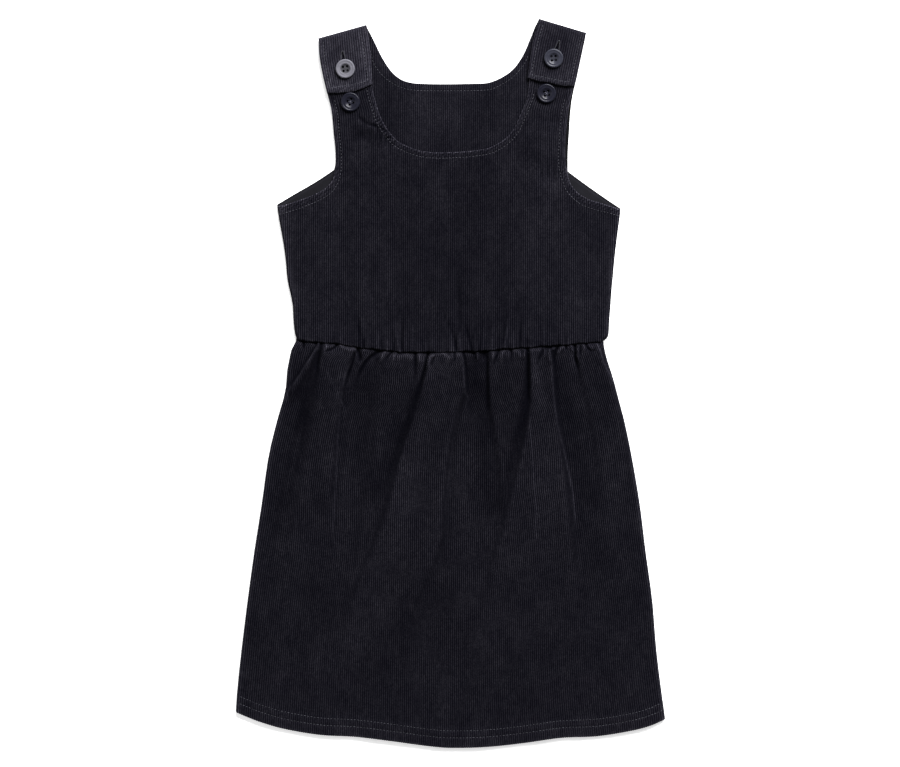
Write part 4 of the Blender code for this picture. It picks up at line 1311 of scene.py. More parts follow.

# %% [markdown]
# The front is cut as three sheets: the body and two straps that start from its own top
# points, so no line shows where they meet. All three read one height and one tone, and
# every crease, brushed patch and painted shade runs on from one into the next.

# %% Front bodice
BODICE_TILES = ((0.0, 0.0, 1.0, 0.40), (0.0, 0.41, 1.0, 0.60), (0.0, 0.985, 1.0, 0.995))
STRAP_TILES = {
    0: ((0.0, 0.62, 0.24, 0.97), (0.25, 0.62, 0.49, 0.97), (0.0, 0.975, 0.49, 0.98)),
    2: ((0.51, 0.62, 0.74, 0.97), (0.75, 0.62, 0.99, 0.97), (0.51, 0.975, 0.99, 0.98)),
}
STRAP_EDGE = {edge: WHOLE_EDGE[edge] for edge in ("high", "left", "right")}
RUBBED = 0.85  # how strongly the ribs of the bodice still stand out

x, y, sides, inside = bodice_body(FRONT_EDGES, True, bodice_ways())
surface = np.stack((x, y, roll_sides(x, *sides, front_bodice_height(x, y), True)), -1)
# The painted highlight on the tops of the ribs, strongest just above the seam.
crest_highlight = between(0.04, 0.14, ease(np.abs(x) / 0.09)) + 0.40 * bell(y - along(WAIST, x), 0.020)
front_bodice_cut = CutPiece("front_bodice_cord")
front_bodice_cut.add_sheet(
    surface, upright(surface), BODICE_WALL, BODICE_TILES,
    raw={**WHOLE_EDGE, "high": open_top(FRONT_EDGES, True)},
    tone=front_bodice_tone(x, y), relief=RUBBED * inside, crest_highlight=crest_highlight * inside,
)
share = np.linspace(0, 1, STRAP_RIBS[True] * STEPS + 1)[None, :]
way = np.linspace(0, 1, 34)[:, None]
for side in (0, 2):
    left, right = FRONT_STRAPS[side : side + 2]
    start_x = between(*zone_marks(FRONT_EDGES)[side : side + 2], share)
    y = between(top_edge(start_x, FRONT_EDGES), between(left[-1][0], right[-1][0], share), way)
    x = between(along(left, y), along(right, y), share)
    x = x + (start_x - x[:1]) * (1 - way)
    surface = np.stack((x, y, front_bodice_height(x, y)), -1)
    front_bodice_cut.add_sheet(
        surface, upright(surface), BODICE_WALL, STRAP_TILES[side], STRAP_EDGE,
        tone=front_bodice_tone(x, y), relief=RUBBED, crest_highlight=0.12,
    )
front_bodice = front_bodice_cut.finish(cord, wrong_side)

# %% [markdown]
# Each back strap is cut in one with the back. It lies under the front strap, folds over
# at the shoulder and comes down in front as a square-ended tab. The tables give the
# edges of the strap below and of the tab above, the tab's end, the stitching round it
# and the line of its buttonhole. The left strap is 0 and the right strap 2, after the
# place of its left edge in the list of edges.

# %% Measures of the back straps and their tabs
# The straps' and tabs' edges are height and across; stitching and buttonholes are across and height.
BACK_STRAPS = (
    points(
        1791, -977, 1873, -959, 1957, -959, 2083, -972, 2293, -993, 2419, -1024, 2629, -1084, 2780, -1110,
        2894, -1112
    ),
    points(2839, -626, 2890, -649, 2940, -672, 3007, -706),
    points(2864, 659, 2927, 683, 2990, 706, 3059, 741),
    points(
        1777, 985, 1873, 985, 1957, 987, 2125, 998, 2243, 1005, 2402, 1024, 2587, 1067, 2814, 1113,
        2940, 1141
    ),
)
TABS = (
    points(2424, -1034, 2579, -1073, 2747, -1105, 2894, -1112),
    points(2507, -655, 2713, -668, 2831, -680, 3007, -706),
    points(2559, 646, 2696, 664, 2864, 689, 3059, 741),
    points(2490, 1042, 2654, 1079, 2814, 1113, 2940, 1141),
)
TAB_ENDS = {  # share across, height of the tab's lower edge
    0: ((0.0, 0.2431), (0.37, 0.2438), (0.70, 0.2460), (1.0, 0.2507)),
    2: ((0.0, 0.2559), (0.25, 0.2531), (0.46, 0.2519), (0.66, 0.2499), (1.0, 0.2490)),
}
TAB_STITCHING = {
    0: points(
        -1067, 2869, -1056, 2730, -1037, 2612, -1007, 2484, -911, 2492, -814, 2506, -701, 2548,
        -712, 2663, -731, 2814, -760, 2957
    ),
    2: points(
        778, 3007, 735, 2864, 703, 2713, 686, 2590, 760, 2572, 886, 2545, 1003, 2532, 1035, 2646,
        1066, 2780, 1093, 2911
    ),
}
BUTTONHOLES = {
    0: points(-906, 2782, -888, 2610),
    2: points(912, 2870, 861, 2700),
}
TAB_TOP = 0.0060
FOLD_RADIUS = (TAB_TOP - TABLE_GAP) / 2
TAB_TONE = {0: 2.45, 2: 1.55}
TAB_LIFT = {0: 0.0009, 2: 0.0011}  # the free end of a tab springs up a little
TAB_RELIEF = 0.6
print("radius of the fold in mm:", round(FOLD_RADIUS * 1000, 1))

# %% [markdown]
# A tab is flat, with edges turned in and held by stitching. Its free end springs up
# a little, and the buttonhole is a deep slit, spread by the thread that holds the
# button. The nap of a tab runs the other way round, so it looks lighter than the strap
# below it.

# %% Height and tone of the tabs
def tab_edge(side, x, y):
    left, right = turned(TABS[side]), turned(TABS[side + 1])
    end = [(between(left[0][0], right[0][0], share), height) for share, height in TAB_ENDS[side]]
    return nearest_edge((left, right, end), x, y)


def slit_width(side, x, y):
    """Half of how wide a buttonhole gapes: narrow at its far end, wide by the button."""
    (x0, y0), (x1, y1) = BUTTONHOLES[side]
    length = math.hypot(x1 - x0, y1 - y0)
    share = ((x - x0) * (x1 - x0) + (y - y0) * (y1 - y0)) / length**2
    return between(0.0004, 0.0016, np.clip(share / 0.5, 0, 1))


def tab_height(side, x, y):
    edge = tab_edge(side, x, y)
    slit = distance_to(BUTTONHOLES[side], x, y)
    half = slit_width(side, x, y)
    lift = TAB_LIFT[side] * bell(np.maximum(y - along(TAB_ENDS[side], 0.5), 0), 0.008)
    height = TAB_TOP + lift + turned_edge(edge, 0.0012, 0.0009)
    height = height + stitched_groove(distance_to(TAB_STITCHING[side], x, y), 0.0003)
    height = height + 0.0001 * pucker(x, y, edge)
    return height - 0.0011 * np.exp(-((slit / half) ** 4)) + 0.0002 * bell(slit - half - 0.0007, 0.0006)


def tab_tone(side, x, y):
    edge = tab_edge(side, x, y)
    row = distance_to(TAB_STITCHING[side], x, y)
    # Worn pile and a painted highlight along the edges and the row of stitching.
    rubbed_and_lit = 1 + 0.6 * bell(edge, 0.0006) + 0.25 * bell(row, 0.0014)
    # Painted shade in the hollow round the buttonhole.
    buttonhole_shade = 1 - 0.25 * bell(distance_to(BUTTONHOLES[side], x, y), 0.009)
    # Painted light and shade on the puckers.
    return TAB_TONE[side] * rubbed_and_lit * buttonhole_shade * (1 + 0.4 * pucker(x, y, edge))


print("height of the left tab's end in mm:", round((TAB_TOP + TAB_LIFT[0]) * 1000, 1))

# %% [markdown]
# One strip of ribs runs the whole way from the back to the end of the tab. It is built
# in three stretches: up the back, round a half circle at the shoulder, and down the tab.
# Each stretch starts exactly where the last one ended, and the outward direction turns
# over with the cloth.

# %% Path of a back strap
TAB_REACH = 0.045
ABOVE_END = (5.2, 4.7, 4.2, 3.6, 2.6, 1.6, 0.9, 0.5, 0.2, 0)  # rows near the end, millimetres


def back_strip(side):
    """Points and outward directions of one back strap, from the bodice to the tab's end."""
    strap, tab = BACK_STRAPS[side : side + 2], TABS[side : side + 2]
    share = np.linspace(0, 1, STRAP_RIBS[False] * STEPS + 1)[None, :]
    start_x = between(*zone_marks(BACK_EDGES)[side : side + 2], share)
    start_y = top_edge(start_x, BACK_EDGES)
    corners = [np.array([table[-1][1], table[-1][0]]) for table in strap]
    across = (corners[1] - corners[0]) / np.linalg.norm(corners[1] - corners[0])
    out = np.array([-across[1], across[0]])
    middle_x, middle_y = [
        between(start, end, share) - away * FOLD_RADIUS for start, end, away in zip(*corners, out)
    ]

    way = np.linspace(0, 1, 26)[:, None]
    y = between(start_y, middle_y, way)
    x = between(along(strap[0], y), along(strap[1], y), share)
    x = x + between(start_x - x[:1], middle_x - x[-1:], way)
    up = np.stack((x, y, np.full(x.shape, TABLE_GAP)), -1)

    turn = np.linspace(0, math.pi, 13)[1:, None] + 0 * share
    reach, rise = FOLD_RADIUS * np.sin(turn), FOLD_RADIUS * (1 - np.cos(turn))
    fold = np.stack((middle_x + out[0] * reach, middle_y + out[1] * reach, TABLE_GAP + rise), -1)
    fold_out = np.stack((out[0] * np.sin(turn), out[1] * np.sin(turn), -np.cos(turn)), -1)

    rows = [*np.linspace(0.0012, TAB_REACH - 0.0065, 22), *(TAB_REACH - np.array(ABOVE_END) / 1000)]
    way = (np.array(rows) / TAB_REACH)[:, None]
    y = between(middle_y, along(TAB_ENDS[side], share), way)
    x = between(along(tab[0], y), along(tab[1], y), share)
    x = x + (middle_x - x[:1]) * (1 - way)
    down = np.stack((x, y, tab_height(side, x, y)), -1)
    return np.concatenate([up, fold, down]), np.concatenate([upright(up, -1.0), fold_out, upright(down)])


print("points along and across one back strap:", back_strip(0)[0].shape[:2])

# %% [markdown]
# The back bodice lies on the table, right side down, so its columns and rows are those
# of the front but turned over. The strips carry on from its straps. The wrong side inside
# the straps is painted darker as shade, and along the turned-in armhole edges it has a
# painted shadow at the edge with a painted highlight just inside.

# %% Back bodice
back_body_ways = np.unique(np.concatenate([bodice_ways(0.2)[::2], [0.0, 1.0]]))
x, y, sides, inside = bodice_body(BACK_EDGES, False, back_body_ways)
surface = np.stack((x, y, roll_sides(x, *sides, np.full(x.shape, TABLE_GAP), False)), -1)
edge = nearest_edge((BACK_ARMHOLE_LEFT, BACK_ARMHOLE_RIGHT), x, y)
back_bodice_cut = CutPiece("back_bodice_cord")
back_bodice_cut.add_sheet(
    surface, upright(surface, -1.0), BACK_WALL, BODICE_TILES,
    raw={**WHOLE_EDGE, "high": open_top(BACK_EDGES, False)}, turn=True, relief=inside,
    # painted shadow along the armhole edge, painted highlight just inside it
    wrong_side_shading=1 - 0.4 * bell(edge, 0.0006) + 0.5 * bell(edge - 0.0022, 0.0007),
)
for side in (0, 2):
    surface, outward = back_strip(side)
    on_tab = outward[..., 2] > -0.5
    # Inside a strap the wrong side is painted darker as shade; the tops of the tab's ribs get a painted
    # highlight.
    back_bodice_cut.add_sheet(
        surface, outward, BACK_WALL, STRAP_TILES[side], STRAP_EDGE, turn=True,
        tone=np.where(on_tab, tab_tone(side, surface[..., 0], surface[..., 1]), 1.0),
        relief=np.where(on_tab, TAB_RELIEF, 1.0), wrong_side_shading=0.35, crest_highlight=np.where(on_tab, 0.20, 0.0),
    )
back_bodice = back_bodice_cut.finish(cord, wrong_side)

# %% [markdown]
# Inside the neck lies a facing, a bib of the same cord that finishes the neck edge. It
# shows ribs where the back's own inside would show plain weave, and a row of
# topstitching holds it just below the edge.

# %% Measures of the neck facing
# The ends' rows are across, height at the top, height at the bottom. All points are across and height.
FACING_ENDS = metres((
    (-790, 2945, 2380), (830, 2995, 2400),
))
FACING_EARS = (
    points(-750, 2960, -710, 2966, -689, 2960, -672, 2932, -649, 2884),
    points(683, 2920, 706, 2984, 724, 3014, 760, 3012),
)
BACK_NECK_STITCHING = points(
    -676, 2797, -643, 2680, -605, 2621, -559, 2570, -500, 2524, -424, 2486, -349, 2465, -256, 2456,
    -4, 2454, 315, 2461, 391, 2486, 466, 2528, 525, 2570, 580, 2625, 626, 2688, 651, 2747
)
FACING_NAP = marked_lines((  # change of tone in percent, width, then across and height along its line
    (-25, 118, -525, 2419, -491, 2083),
    (-20, 118, 332, 2377, 248, 2041),
    (18, 118, -256, 2461, -273, 2041),
    (12, 84, -4, 2461, -4, 2209),
    (-15, 84, -340, 1991, 80, 1974),
), unit=100)
FACING_TOP = 0.0027
FACING_LOW = 0.1790
FACING_RIBS = 90
FACING_REACH = 0.072
BELOW_NECK = (0, 0.2, 0.5, 0.9, 1.6, 2.8, 4.0, 4.6, 5.0, 5.4, 5.8, 6.4, 7.5, 9.5)  # rows, millimetres
print("facing across in mm:", round((FACING_ENDS[1][0] - FACING_ENDS[0][0]) * 1000))

# %% [markdown]
# The facing is one grid between its curved lower edge and the neck. Each column's rows
# are a share of its own height, so the close ones near the top follow the neck curve
# and give the turned edge and the groove enough points.

# %% Neck facing
def facing_surface():
    left, right = FACING_ENDS
    x = np.linspace(left[0], right[0], FACING_RIBS * STEPS + 1)[None, :]
    edge = (left[:2],) + FACING_EARS[0] + BACK_NECK + FACING_EARS[1] + (right[:2],)
    top = along(edge, x) - 0.0003
    share = (x - left[0]) / (right[0] - left[0])
    low = between(between(left[2], right[2], share), FACING_LOW, np.sin(math.pi * share) ** 0.8)
    steps = np.array(BELOW_NECK) / 1000 / FACING_REACH
    way = np.concatenate([np.linspace(0, 1 - steps[-1], 18)[:-1], 1 - steps[::-1]])[:, None]
    y = between(low, top, way)
    x = x + 0 * y
    height = FACING_TOP + turned_edge(distance_to(edge, x, y), 0.0009, 0.0006)
    height = height + stitched_groove(distance_to(BACK_NECK_STITCHING, x, y))
    return np.stack((x, y, height), -1)


surface = facing_surface()
x, y = surface[..., 0], surface[..., 1]
edge = distance_to(BACK_NECK, x, y)
# Worn pile and a painted highlight along the neck edge.
tone = edge_wear_and_highlight(edge, 0.0005) * (1 + 0.2 * ease((0.0055 - edge) / 0.001))
facing_cut = CutPiece("back_neck_facing_cord")
facing_cut.add_sheet(
    surface, upright(surface), FACING_WALL,
    ((0.0, 0.0, 1.0, 0.55), (0.0, 0.57, 1.0, 0.94), (0.0, 0.96, 1.0, 0.99)), WHOLE_EDGE,
    tone=1.12 * tone * nap_and_fold_shading(FACING_NAP, x, y), relief=RUBBED,
)
facing = facing_cut.finish(cord, wrong_side)

# %% [markdown]
# The thread is polyester, a little lighter than the cloth, so each stitch shows as a
# small pale dash. It has rubbed pale in some stretches and stayed dark in others,
# which a noise a centimetre wide gives. A fine one in the bump is the yarn's twist.

# %% Thread
def thread_finish(name, dark, light):
    made, tree, shader = new_finish(name, {"Roughness": 0.55, "Sheen Weight": 0.15})
    tone = add_ramp(tree, add_noise(tree, 110, 3.0), ((0.35, dark), (0.65, light)))
    tree.links.new(tone, shader.inputs["Base Color"])
    add_bump(tree, shader, add_noise(tree, 4200, 1.0), 0.00005)
    return made


thread = thread_finish("sewing_thread_slate", (0.022, 0.022, 0.030), (0.068, 0.068, 0.086))
print("thread:", thread.name)

# %% [markdown]
# A sewing machine lays stitches of one length, end to end, each a short bow of thread
# whose ends dive into the cloth. One stitch is made once and repeated along each row.
# A ray from above finds the height of the cloth under it, so the stitches follow every
# crease without a single height typed in.

# %% One stitch
def bow(length, width, sides=6, rings=5):
    """Points and faces of one stitch: a short bowed tube that dips at both ends."""
    corners, faces = [], []
    for ring in range(rings):
        t = ring / (rings - 1)
        thick = width / 2 * (0.45 + 0.55 * math.sin(math.pi * t) ** 0.5 if 0 < t < 1 else 0.35)
        rise = width * (0.62 * math.sin(math.pi * t) - 0.30)
        for side in range(sides):
            turn = 2 * math.pi * side / sides
            corners.append((length * (t - 0.5), thick * math.cos(turn), rise + thick * math.sin(turn)))
    for ring in range(rings - 1):
        for side in range(sides):
            a, b = ring * sides + side, ring * sides + (side + 1) % sides
            faces.append((a, a + sides, b + sides, b))
    last = (rings - 1) * sides
    return np.array(corners), [*faces, tuple(range(sides)), tuple(range(last + sides - 1, last - 1, -1))]


def ground_under(piece):
    """A function that gives the surface point and its normal under a place on the plan."""
    tree = BVHTree.FromObject(piece, bpy.context.evaluated_depsgraph_get())

    def at(x, y):
        hit, normal, _, _ = tree.ray_cast(Vector((x, y, 0.05)), Vector((0, 0, -1)))
        return hit, normal

    return at


def join_stitches(name, stitches, cells, finish):
    """One piece out of many stitches with the same faces."""
    faces = []
    for first in range(0, len(stitches) * len(stitches[0]), len(stitches[0])):
        faces += [[first + corner for corner in cell] for cell in cells]
    mesh = bpy.data.meshes.new(name)
    mesh.from_pydata(np.concatenate(stitches).tolist(), [], faces)
    mesh.polygons.foreach_set("use_smooth", np.ones(len(faces), bool))
    mesh.materials.append(finish)
    print(f"{name}: {len(stitches)} stitches")
    return put(name, mesh)


print("points of one stitch:", len(bow(0.0020, 0.00044)[0]))

# %% [markdown]
# `sew` walks along each row and sets a stitch at every step. No hand or machine repeats
# itself exactly, so each stitch leans and stretches by a small random amount. The
# random numbers start from a fixed seed and are the same on every run.

# %% Stitches along a row
STITCH, STITCH_GAP, STITCH_WIDTH = 0.0020, 0.0008, 0.00044


def sew(name, rows, piece, finish, seed=1):
    """Stitches along each of the rows, laid on the piece."""
    bpy.context.view_layer.update()
    ground = ground_under(piece)
    shape, cells = bow(STITCH, STITCH_WIDTH)
    chance = np.random.default_rng(seed)
    stitches = []
    for row in rows:
        for (x, y), (dx, dy) in zip(*walk(row, STITCH + STITCH_GAP)):
            hit, normal = ground(x - MIDDLE[0], y - MIDDLE[1])
            if hit is None:
                continue
            lean = chance.normal(0, 0.05)
            along_row = Vector((dx - dy * lean, dy + dx * lean, 0)).normalized()
            up = (normal + Vector((0, 0, 1.5))).normalized()
            side = up.cross(along_row).normalized()
            axes = np.array([side.cross(up), side, up])
            stitches.append(shape * (1 + chance.normal(0, 0.04)) @ axes + np.array(hit))
    return join_stitches(name, stitches, cells, finish)


front_topstitching = sew("front_bodice_topstitching", FRONT_STITCHING.values(), front_bodice, thread)
neck_topstitching = sew("back_neck_topstitching", [BACK_NECK_STITCHING], facing, thread, seed=2)
tab_topstitching = sew("tab_topstitching", TAB_STITCHING.values(), back_bodice, thread, seed=3)

# %% [markdown]
# The hem is held by two rows, sewn round the whole skirt. They follow the hem's own
# curve, so their lines are worked out from the hem table and not typed in again.

# %% Stitching the hem
def hem_line(above):
    share = np.linspace(0.006, 0.994, 60)
    y = along(HEM, share) + above
    return np.stack((skirt_across(share, y), y), 1)


hem_topstitching = sew("hem_topstitching", [hem_line(row) for row in HEM_ROWS], front_skirt, thread, seed=4)

# %% [markdown]
# A machine buttonhole is a slit with close bars of thread along both sides and a few
# across one end. The bars are the same bowed stitch, short and turned across the slit.

# %% Buttonholes
BAR_STEP, BAR_LENGTH, BAR_WIDTH = 0.00042, 0.0010, 0.00038
END_BARS = (0.0002, 0.0006)  # how far beyond the slit's end each of them lies
END_BAR_HALF = 0.0012


def bars_of(line):
    """The two ends of every bar round one buttonhole."""
    along_slit, direction = walk(line, BAR_STEP)
    share = np.linspace(0, 1, len(along_slit))[:, None]
    bars = []
    for side in (-1, 1):
        out = np.stack((-direction[:, 1], direction[:, 0]), 1) * side
        inner = along_slit + out * between(0.0003, 0.0016, np.clip(share / 0.5, 0, 1))
        bars += list(np.stack((inner, inner + out * BAR_LENGTH), 1))
    start, end = np.array(line)
    ahead = (end - start) / np.linalg.norm(end - start)
    across = np.array([ahead[1], -ahead[0]]) * END_BAR_HALF
    for back in END_BARS:
        middle = start - ahead * back
        bars.append(np.stack((middle + across, middle - across)))
    return bars


def flat_axes(dx, dy):
    """The axes of a stitch that lies level and points along dx, dy."""
    return np.array([(dx, dy, 0), (-dy, dx, 0), (0, 0, 1)])


def sew_bars(name, piece, finish):
    ground = ground_under(piece)
    stitches = []
    for start, end in [bar for line in BUTTONHOLES.values() for bar in bars_of(line)]:
        middle, reach = (start + end) / 2, np.linalg.norm(end - start)
        shape, cells = bow(reach * 1.1, BAR_WIDTH, 6, 4)
        hit, _ = ground(middle[0] - MIDDLE[0], middle[1] - MIDDLE[1])
        if hit is not None:
            place = np.array((hit.x, hit.y, max(hit.z, TAB_TOP - 0.0001)))
            stitches.append(shape @ flat_axes(*(end - start) / reach) + place)
    return join_stitches(name, stitches, cells, finish)


dull_thread = thread_finish("buttonhole_thread", (0.014, 0.014, 0.019), (0.034, 0.034, 0.044))
buttonholes = sew_bars("buttonhole_stitching", back_bodice, dull_thread)

# %% [markdown]
# The plastic of the buttons is polyester, clouded by the swirl of its pigment. Two
# buttons are navy, one has faded to slate and one has bleached to grey. The wells of the
# slate and grey buttons are painted darker as shade in the recess, most of all the grey one.

# %% Button plastic
def button_finish(name, dark, light, roughness, shine, well_shade):
    values = {"Roughness": roughness, "IOR": 1.54, "Specular IOR Level": shine}
    made, tree, shader = new_finish(name, values)
    swirl = add_ramp(tree, add_noise(tree, 420, 4.0, (1, 1, 3)), ((0.3, dark), (0.7, light)))
    # The well is painted darker, as shade in the recess.
    wear_and_painted_light = add_ramp(tree, add_attribute(tree, "wear_and_painted_light"), ((0.0, (well_shade, well_shade, well_shade)), (1.0, (1, 1, 1))))
    tree.links.new(add_mix(tree, "MULTIPLY", swirl, wear_and_painted_light), shader.inputs["Base Color"])
    add_bump(tree, shader, add_noise(tree, 1800, 3.0), 0.00002, 0.6)
    return made


# The well's value is the painted shade in the recess.
PLASTICS = {  # dark and light of the swirl, roughness, shine, how light the well is
    "navy": ((0.0105, 0.0106, 0.0180), (0.0150, 0.0152, 0.0245), 0.30, 0.20, 1.0),
    "slate": ((0.0290, 0.0300, 0.0420), (0.0380, 0.0392, 0.0530), 0.32, 0.22, 0.9),
    "grey": ((0.118, 0.116, 0.134), (0.152, 0.149, 0.172), 0.60, 0.15, 0.36),
}
plastic = {name: button_finish("button_plastic_" + name, *values) for name, values in PLASTICS.items()}
print("plastics:", ", ".join(plastic))

# %% [markdown]
# The buttons are turned from rod: a raised rim round a shallow dish, and a deeper well
# in the middle with four holes. A half outline spun round its axis gives the disc, and
# four drills cut by a Boolean give the holes, as a lathe and a drill press would. A
# spin lists its faces in no fixed order, so they are sorted before the drills cut them:
# then every run gives the same mesh.

# %% Turning and drilling the buttons
STRAP_TOP = 0.0044
BUTTONS = (  # name, across, height, what it lies on, turn of its holes, finish
    ("button_upper_left", -0.0883, 0.2637, TAB_TOP, 8, plastic["grey"]),
    ("button_lower_left", -0.0840, 0.2359, STRAP_TOP, 30, plastic["navy"]),
    ("button_upper_right", 0.0866, 0.2725, TAB_TOP, 5, plastic["slate"]),
    ("button_lower_right", 0.0806, 0.2431, STRAP_TOP, 12, plastic["navy"]),
)
BUTTON_OUTLINE = (  # radius, height
    (0.0, 0.0), (0.0066, 0.0), (0.0074, 0.0003), (0.0079, 0.0008), (0.0081, 0.0014), (0.0080, 0.0019),
    (0.0077, 0.0023), (0.0073, 0.0025), (0.0069, 0.00255), (0.0065, 0.0024), (0.0060, 0.0022),
    (0.0052, 0.0022), (0.0048, 0.00225), (0.0045, 0.0021), (0.0040, 0.00185), (0.0035, 0.00155),
    (0.0031, 0.0013), (0.0027, 0.0011), (0.0015, 0.0011), (0.0, 0.0011),
)
BUTTON_GAP = 0.0003  # room for the cloth's ribs under a button
HOLE_RADIUS = 0.00100
HOLE_REACH = 1.414 * 0.00168  # from the button's middle to a hole's middle
WELL_RADIUS = 0.0036
SORT_WAY = Vector((1.0, 0.731, 0.4127))  # a slant along which no two faces of a disc tie


def keep_shape(name, shape):
    """Puts a shape made with bmesh into the scene."""
    mesh = bpy.data.meshes.new(name)
    shape.to_mesh(mesh)
    shape.free()
    return put(name, mesh)


def hole_angles(turn, holes):
    return [math.radians(turn + 45 + 90 * quarter) for quarter in range(holes)]


def turn_disc(name):
    disc = bmesh.new()
    corners = [disc.verts.new((radius, 0, height)) for radius, height in BUTTON_OUTLINE]
    edges = [disc.edges.new(pair) for pair in zip(corners, corners[1:])]
    bmesh.ops.spin(disc, geom=corners + edges, axis=(0, 0, 1), cent=(0, 0, 0), angle=2 * math.pi, steps=96)
    bmesh.ops.remove_doubles(disc, verts=disc.verts, dist=0.000002)
    disc.faces.sort(key=lambda face: face.calc_center_median().dot(SORT_WAY))
    bmesh.ops.recalc_face_normals(disc, faces=disc.faces)
    return keep_shape(name + "_disc", disc)


def make_drills(name, turn):
    drills = bmesh.new()
    for angle in hole_angles(turn, 4):
        place = Matrix.Translation((HOLE_REACH * math.cos(angle), HOLE_REACH * math.sin(angle), 0.001))
        bmesh.ops.create_cone(drills, segments=20, radius1=HOLE_RADIUS, radius2=HOLE_RADIUS, depth=0.006,
                              cap_ends=True, matrix=place)
    return keep_shape(name + "_drills", drills)


def make_button(name, x, y, lies_on, turn, finish):
    button, drill = turn_disc(name), make_drills(name, turn)
    cut = button.modifiers.new("holes", "BOOLEAN")
    cut.object, cut.operation, cut.solver = drill, "DIFFERENCE", "EXACT"
    bpy.context.view_layer.update()
    drilled = bpy.data.meshes.new_from_object(button.evaluated_get(bpy.context.evaluated_depsgraph_get()))
    button.modifiers.clear()
    button.data = drilled
    bpy.data.objects.remove(drill)
    centre = Vector((x - MIDDLE[0], y - MIDDLE[1], lies_on + BUTTON_GAP))
    drilled.transform(Matrix.Translation(centre))
    drilled.materials.clear()
    drilled.materials.append(finish)
    radii = np.array([(point.co.xy - centre.xy).length for point in drilled.vertices])
    # 0 in the well and 1 outside it, for the painted shade in the well.
    wear_and_painted_light = drilled.attributes.new("wear_and_painted_light", "FLOAT", "POINT")
    wear_and_painted_light.data.foreach_set("value", ease((radii - WELL_RADIUS) / 0.0010).astype(np.float32))
    drilled.polygons.foreach_set("use_smooth", np.ones(len(drilled.polygons), bool))
    drilled.set_sharp_from_angle(angle=math.radians(40))
    return button


buttons = {row[0]: make_button(*row) for row in BUTTONS}
print("faces of one button:", len(buttons["button_upper_left"].data.polygons))

# %% [markdown]
# Each button is sewn through its four holes with a cross of thread. Two strands lie
# side by side each way on the lower buttons; on the upper ones they are drawn tight.

# %% Thread in the buttons
WELL_HEIGHT = 0.0011
dark_thread = thread_finish("button_thread_navy", (0.014, 0.014, 0.019), (0.026, 0.026, 0.034))
pale_thread = thread_finish("button_thread_slate", (0.050, 0.052, 0.070), (0.085, 0.087, 0.112))


def sew_button(name, x, y, lies_on, turn, finish, width):
    place = np.array((x - MIDDLE[0], y - MIDDLE[1], lies_on + BUTTON_GAP + WELL_HEIGHT))
    shape, cells = bow(2 * HOLE_REACH * 0.80, width, 7, 7)
    strands = []
    for cross, angle in enumerate(hole_angles(turn, 2)):
        for strand in (-1, 1):
            moved = shape + np.array((0, strand * 0.4 * width, 0.4 * width * cross - 0.00002))
            strands.append(moved @ flat_axes(math.cos(angle), math.sin(angle)) + place)
    return join_stitches(name, strands, cells, finish)


threads = {}
for name, *place, _ in BUTTONS:
    finish, width = (pale_thread, 0.00022) if "lower" in name else (dark_thread, 0.00012)
    threads[name] = sew_button(name + "_thread", *place, finish, width)
print("buttons sewn on:", len(threads))

# %% [markdown]
# The panels take the place of their solids in the frame, and stitching and buttons ride
# with them. The table below lists the size each panel was cut to. The dress has no moving
# parts, so everything rides on one body.

# %% Putting the pieces in place of the frame's solids
SHEETS = (  # piece, node, flat width and length, area, how it is held, what it lies on, its sewing
    (back_skirt, "back_skirt", (0.362, 0.350), None, "gathered", "floor", []),
    (front_skirt, "front_skirt", (0.362, 0.350), None, "gathered", "back_skirt", [hem_topstitching]),
    (back_bodice, "back_bodice", (0.300, 0.330), 0.0610, "laid", "floor", [tab_topstitching, buttonholes]),
    (front_bodice, "front_bodice", (0.300, 0.260), 0.0490, "laid", "back_bodice", [front_topstitching]),
    (facing, "back_neck_facing", (0.160, 0.110), 0.0110, "laid", "back_bodice", [neck_topstitching]),
)
for piece, node, *_, sewing in SHEETS:
    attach(piece, "root")
    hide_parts(node)
    for stitches in sewing:
        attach(stitches, "root")
for name, button in buttons.items():
    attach(button, "root")
    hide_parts(name)
    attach(threads[name], "root")
for piece, _, flat, area, held, lies_on, sewing in SHEETS:
    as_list(sewing)
print("pieces declared as cloth:", len(SHEETS))

# %% [markdown]
# The dress lies on a white table that gives back a little light of its own, so its
# colour stays even out to the edges of the view.

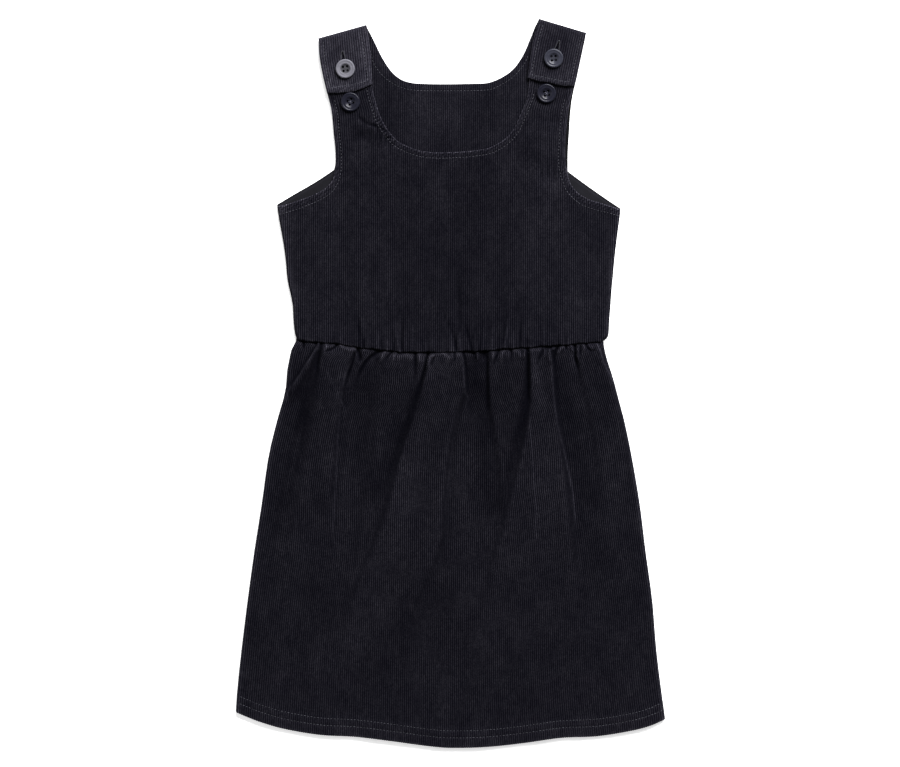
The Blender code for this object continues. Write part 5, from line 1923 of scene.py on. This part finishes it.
# %% Table
TABLE_REACH = 4  # metres each way from the dress
CORNERS = ((-1, -1), (1, -1), (1, 1), (-1, 1))
table_mesh = bpy.data.meshes.new("floor")
table_mesh.from_pydata([(x * TABLE_REACH, y * TABLE_REACH, 0) for x, y in CORNERS], [], [(0, 1, 2, 3)])
TABLE_PAINT = {"Base Color": (0.93, 0.93, 0.93, 1), "Emission Color": (1, 1, 1, 1),
               "Emission Strength": 0.45, "Roughness": 0.9}
table_mesh.materials.append(new_finish("table_white", TABLE_PAINT)[0])
table = put("floor", table_mesh)
table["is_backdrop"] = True
print("table across in m:", table.dimensions.x)

# %% [markdown]
# A garment laid out for a shop is lit by a broad, soft light from the far side, with a
# little more from the left to open the shadows. Light that comes in at a slant shows up
# every fold, where light from all round would flatten them. The camera looks straight
# down through a long lens, so nothing leans.

# %% Light and camera
def box_light(name, place, size, power):
    """A soft box that points at the middle of the dress."""
    lamp = bpy.data.lights.new(name, "AREA")
    lamp.shape, lamp.size, lamp.size_y, lamp.energy = "RECTANGLE", *size, power
    made = put(name, lamp)
    made.location = place
    made.rotation_euler = (-Vector(place)).to_track_quat("-Z", "Y").to_euler()


box_light("softbox_far", (1.30, 2.90, 2.60), (3.0, 2.0), 370)
box_light("softbox_left", (-2.60, 0.60, 2.20), (2.4, 2.4), 14)
world = bpy.data.worlds.new("studio")
bpy.context.scene.world = world
world.use_nodes = True
world.node_tree.nodes["Background"].inputs["Color"].default_value = (1, 1, 1, 1)
world.node_tree.nodes["Background"].inputs["Strength"].default_value = 0.22

FRAME_WIDTH = 0.756  # metres of table across the view
CAMERA_HEIGHT = 6.0
SENSOR_WIDTH = 36  # millimetres
AIM = -0.0004  # both across and up, where the tables' zero is
lens = bpy.data.cameras.new("camera")
lens.sensor_width = SENSOR_WIDTH
lens.lens = SENSOR_WIDTH * CAMERA_HEIGHT / FRAME_WIDTH
camera = put("camera", lens)
camera.location = (AIM - MIDDLE[0], AIM - MIDDLE[1], CAMERA_HEIGHT)
bpy.context.scene.camera = camera
bpy.context.scene.view_settings.view_transform = "Standard"
bpy.context.scene.view_settings.look = "Medium High Contrast"
print("lens in mm:", round(lens.lens))

# %% [markdown]
# Last, the finished dress is measured again, and both boxes are printed. It has to stay
# inside the frame's own box, apart from the little that cloth may stand proud.

# %% Measure and finish
dressed_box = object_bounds()


def plain(box):
    return [[float(value) for value in corner] for corner in box]


{"frame": plain(frame_box), "dressed": plain(dressed_box)}
print("frame:", plain(frame_box))
print("dressed:", plain(dressed_box))
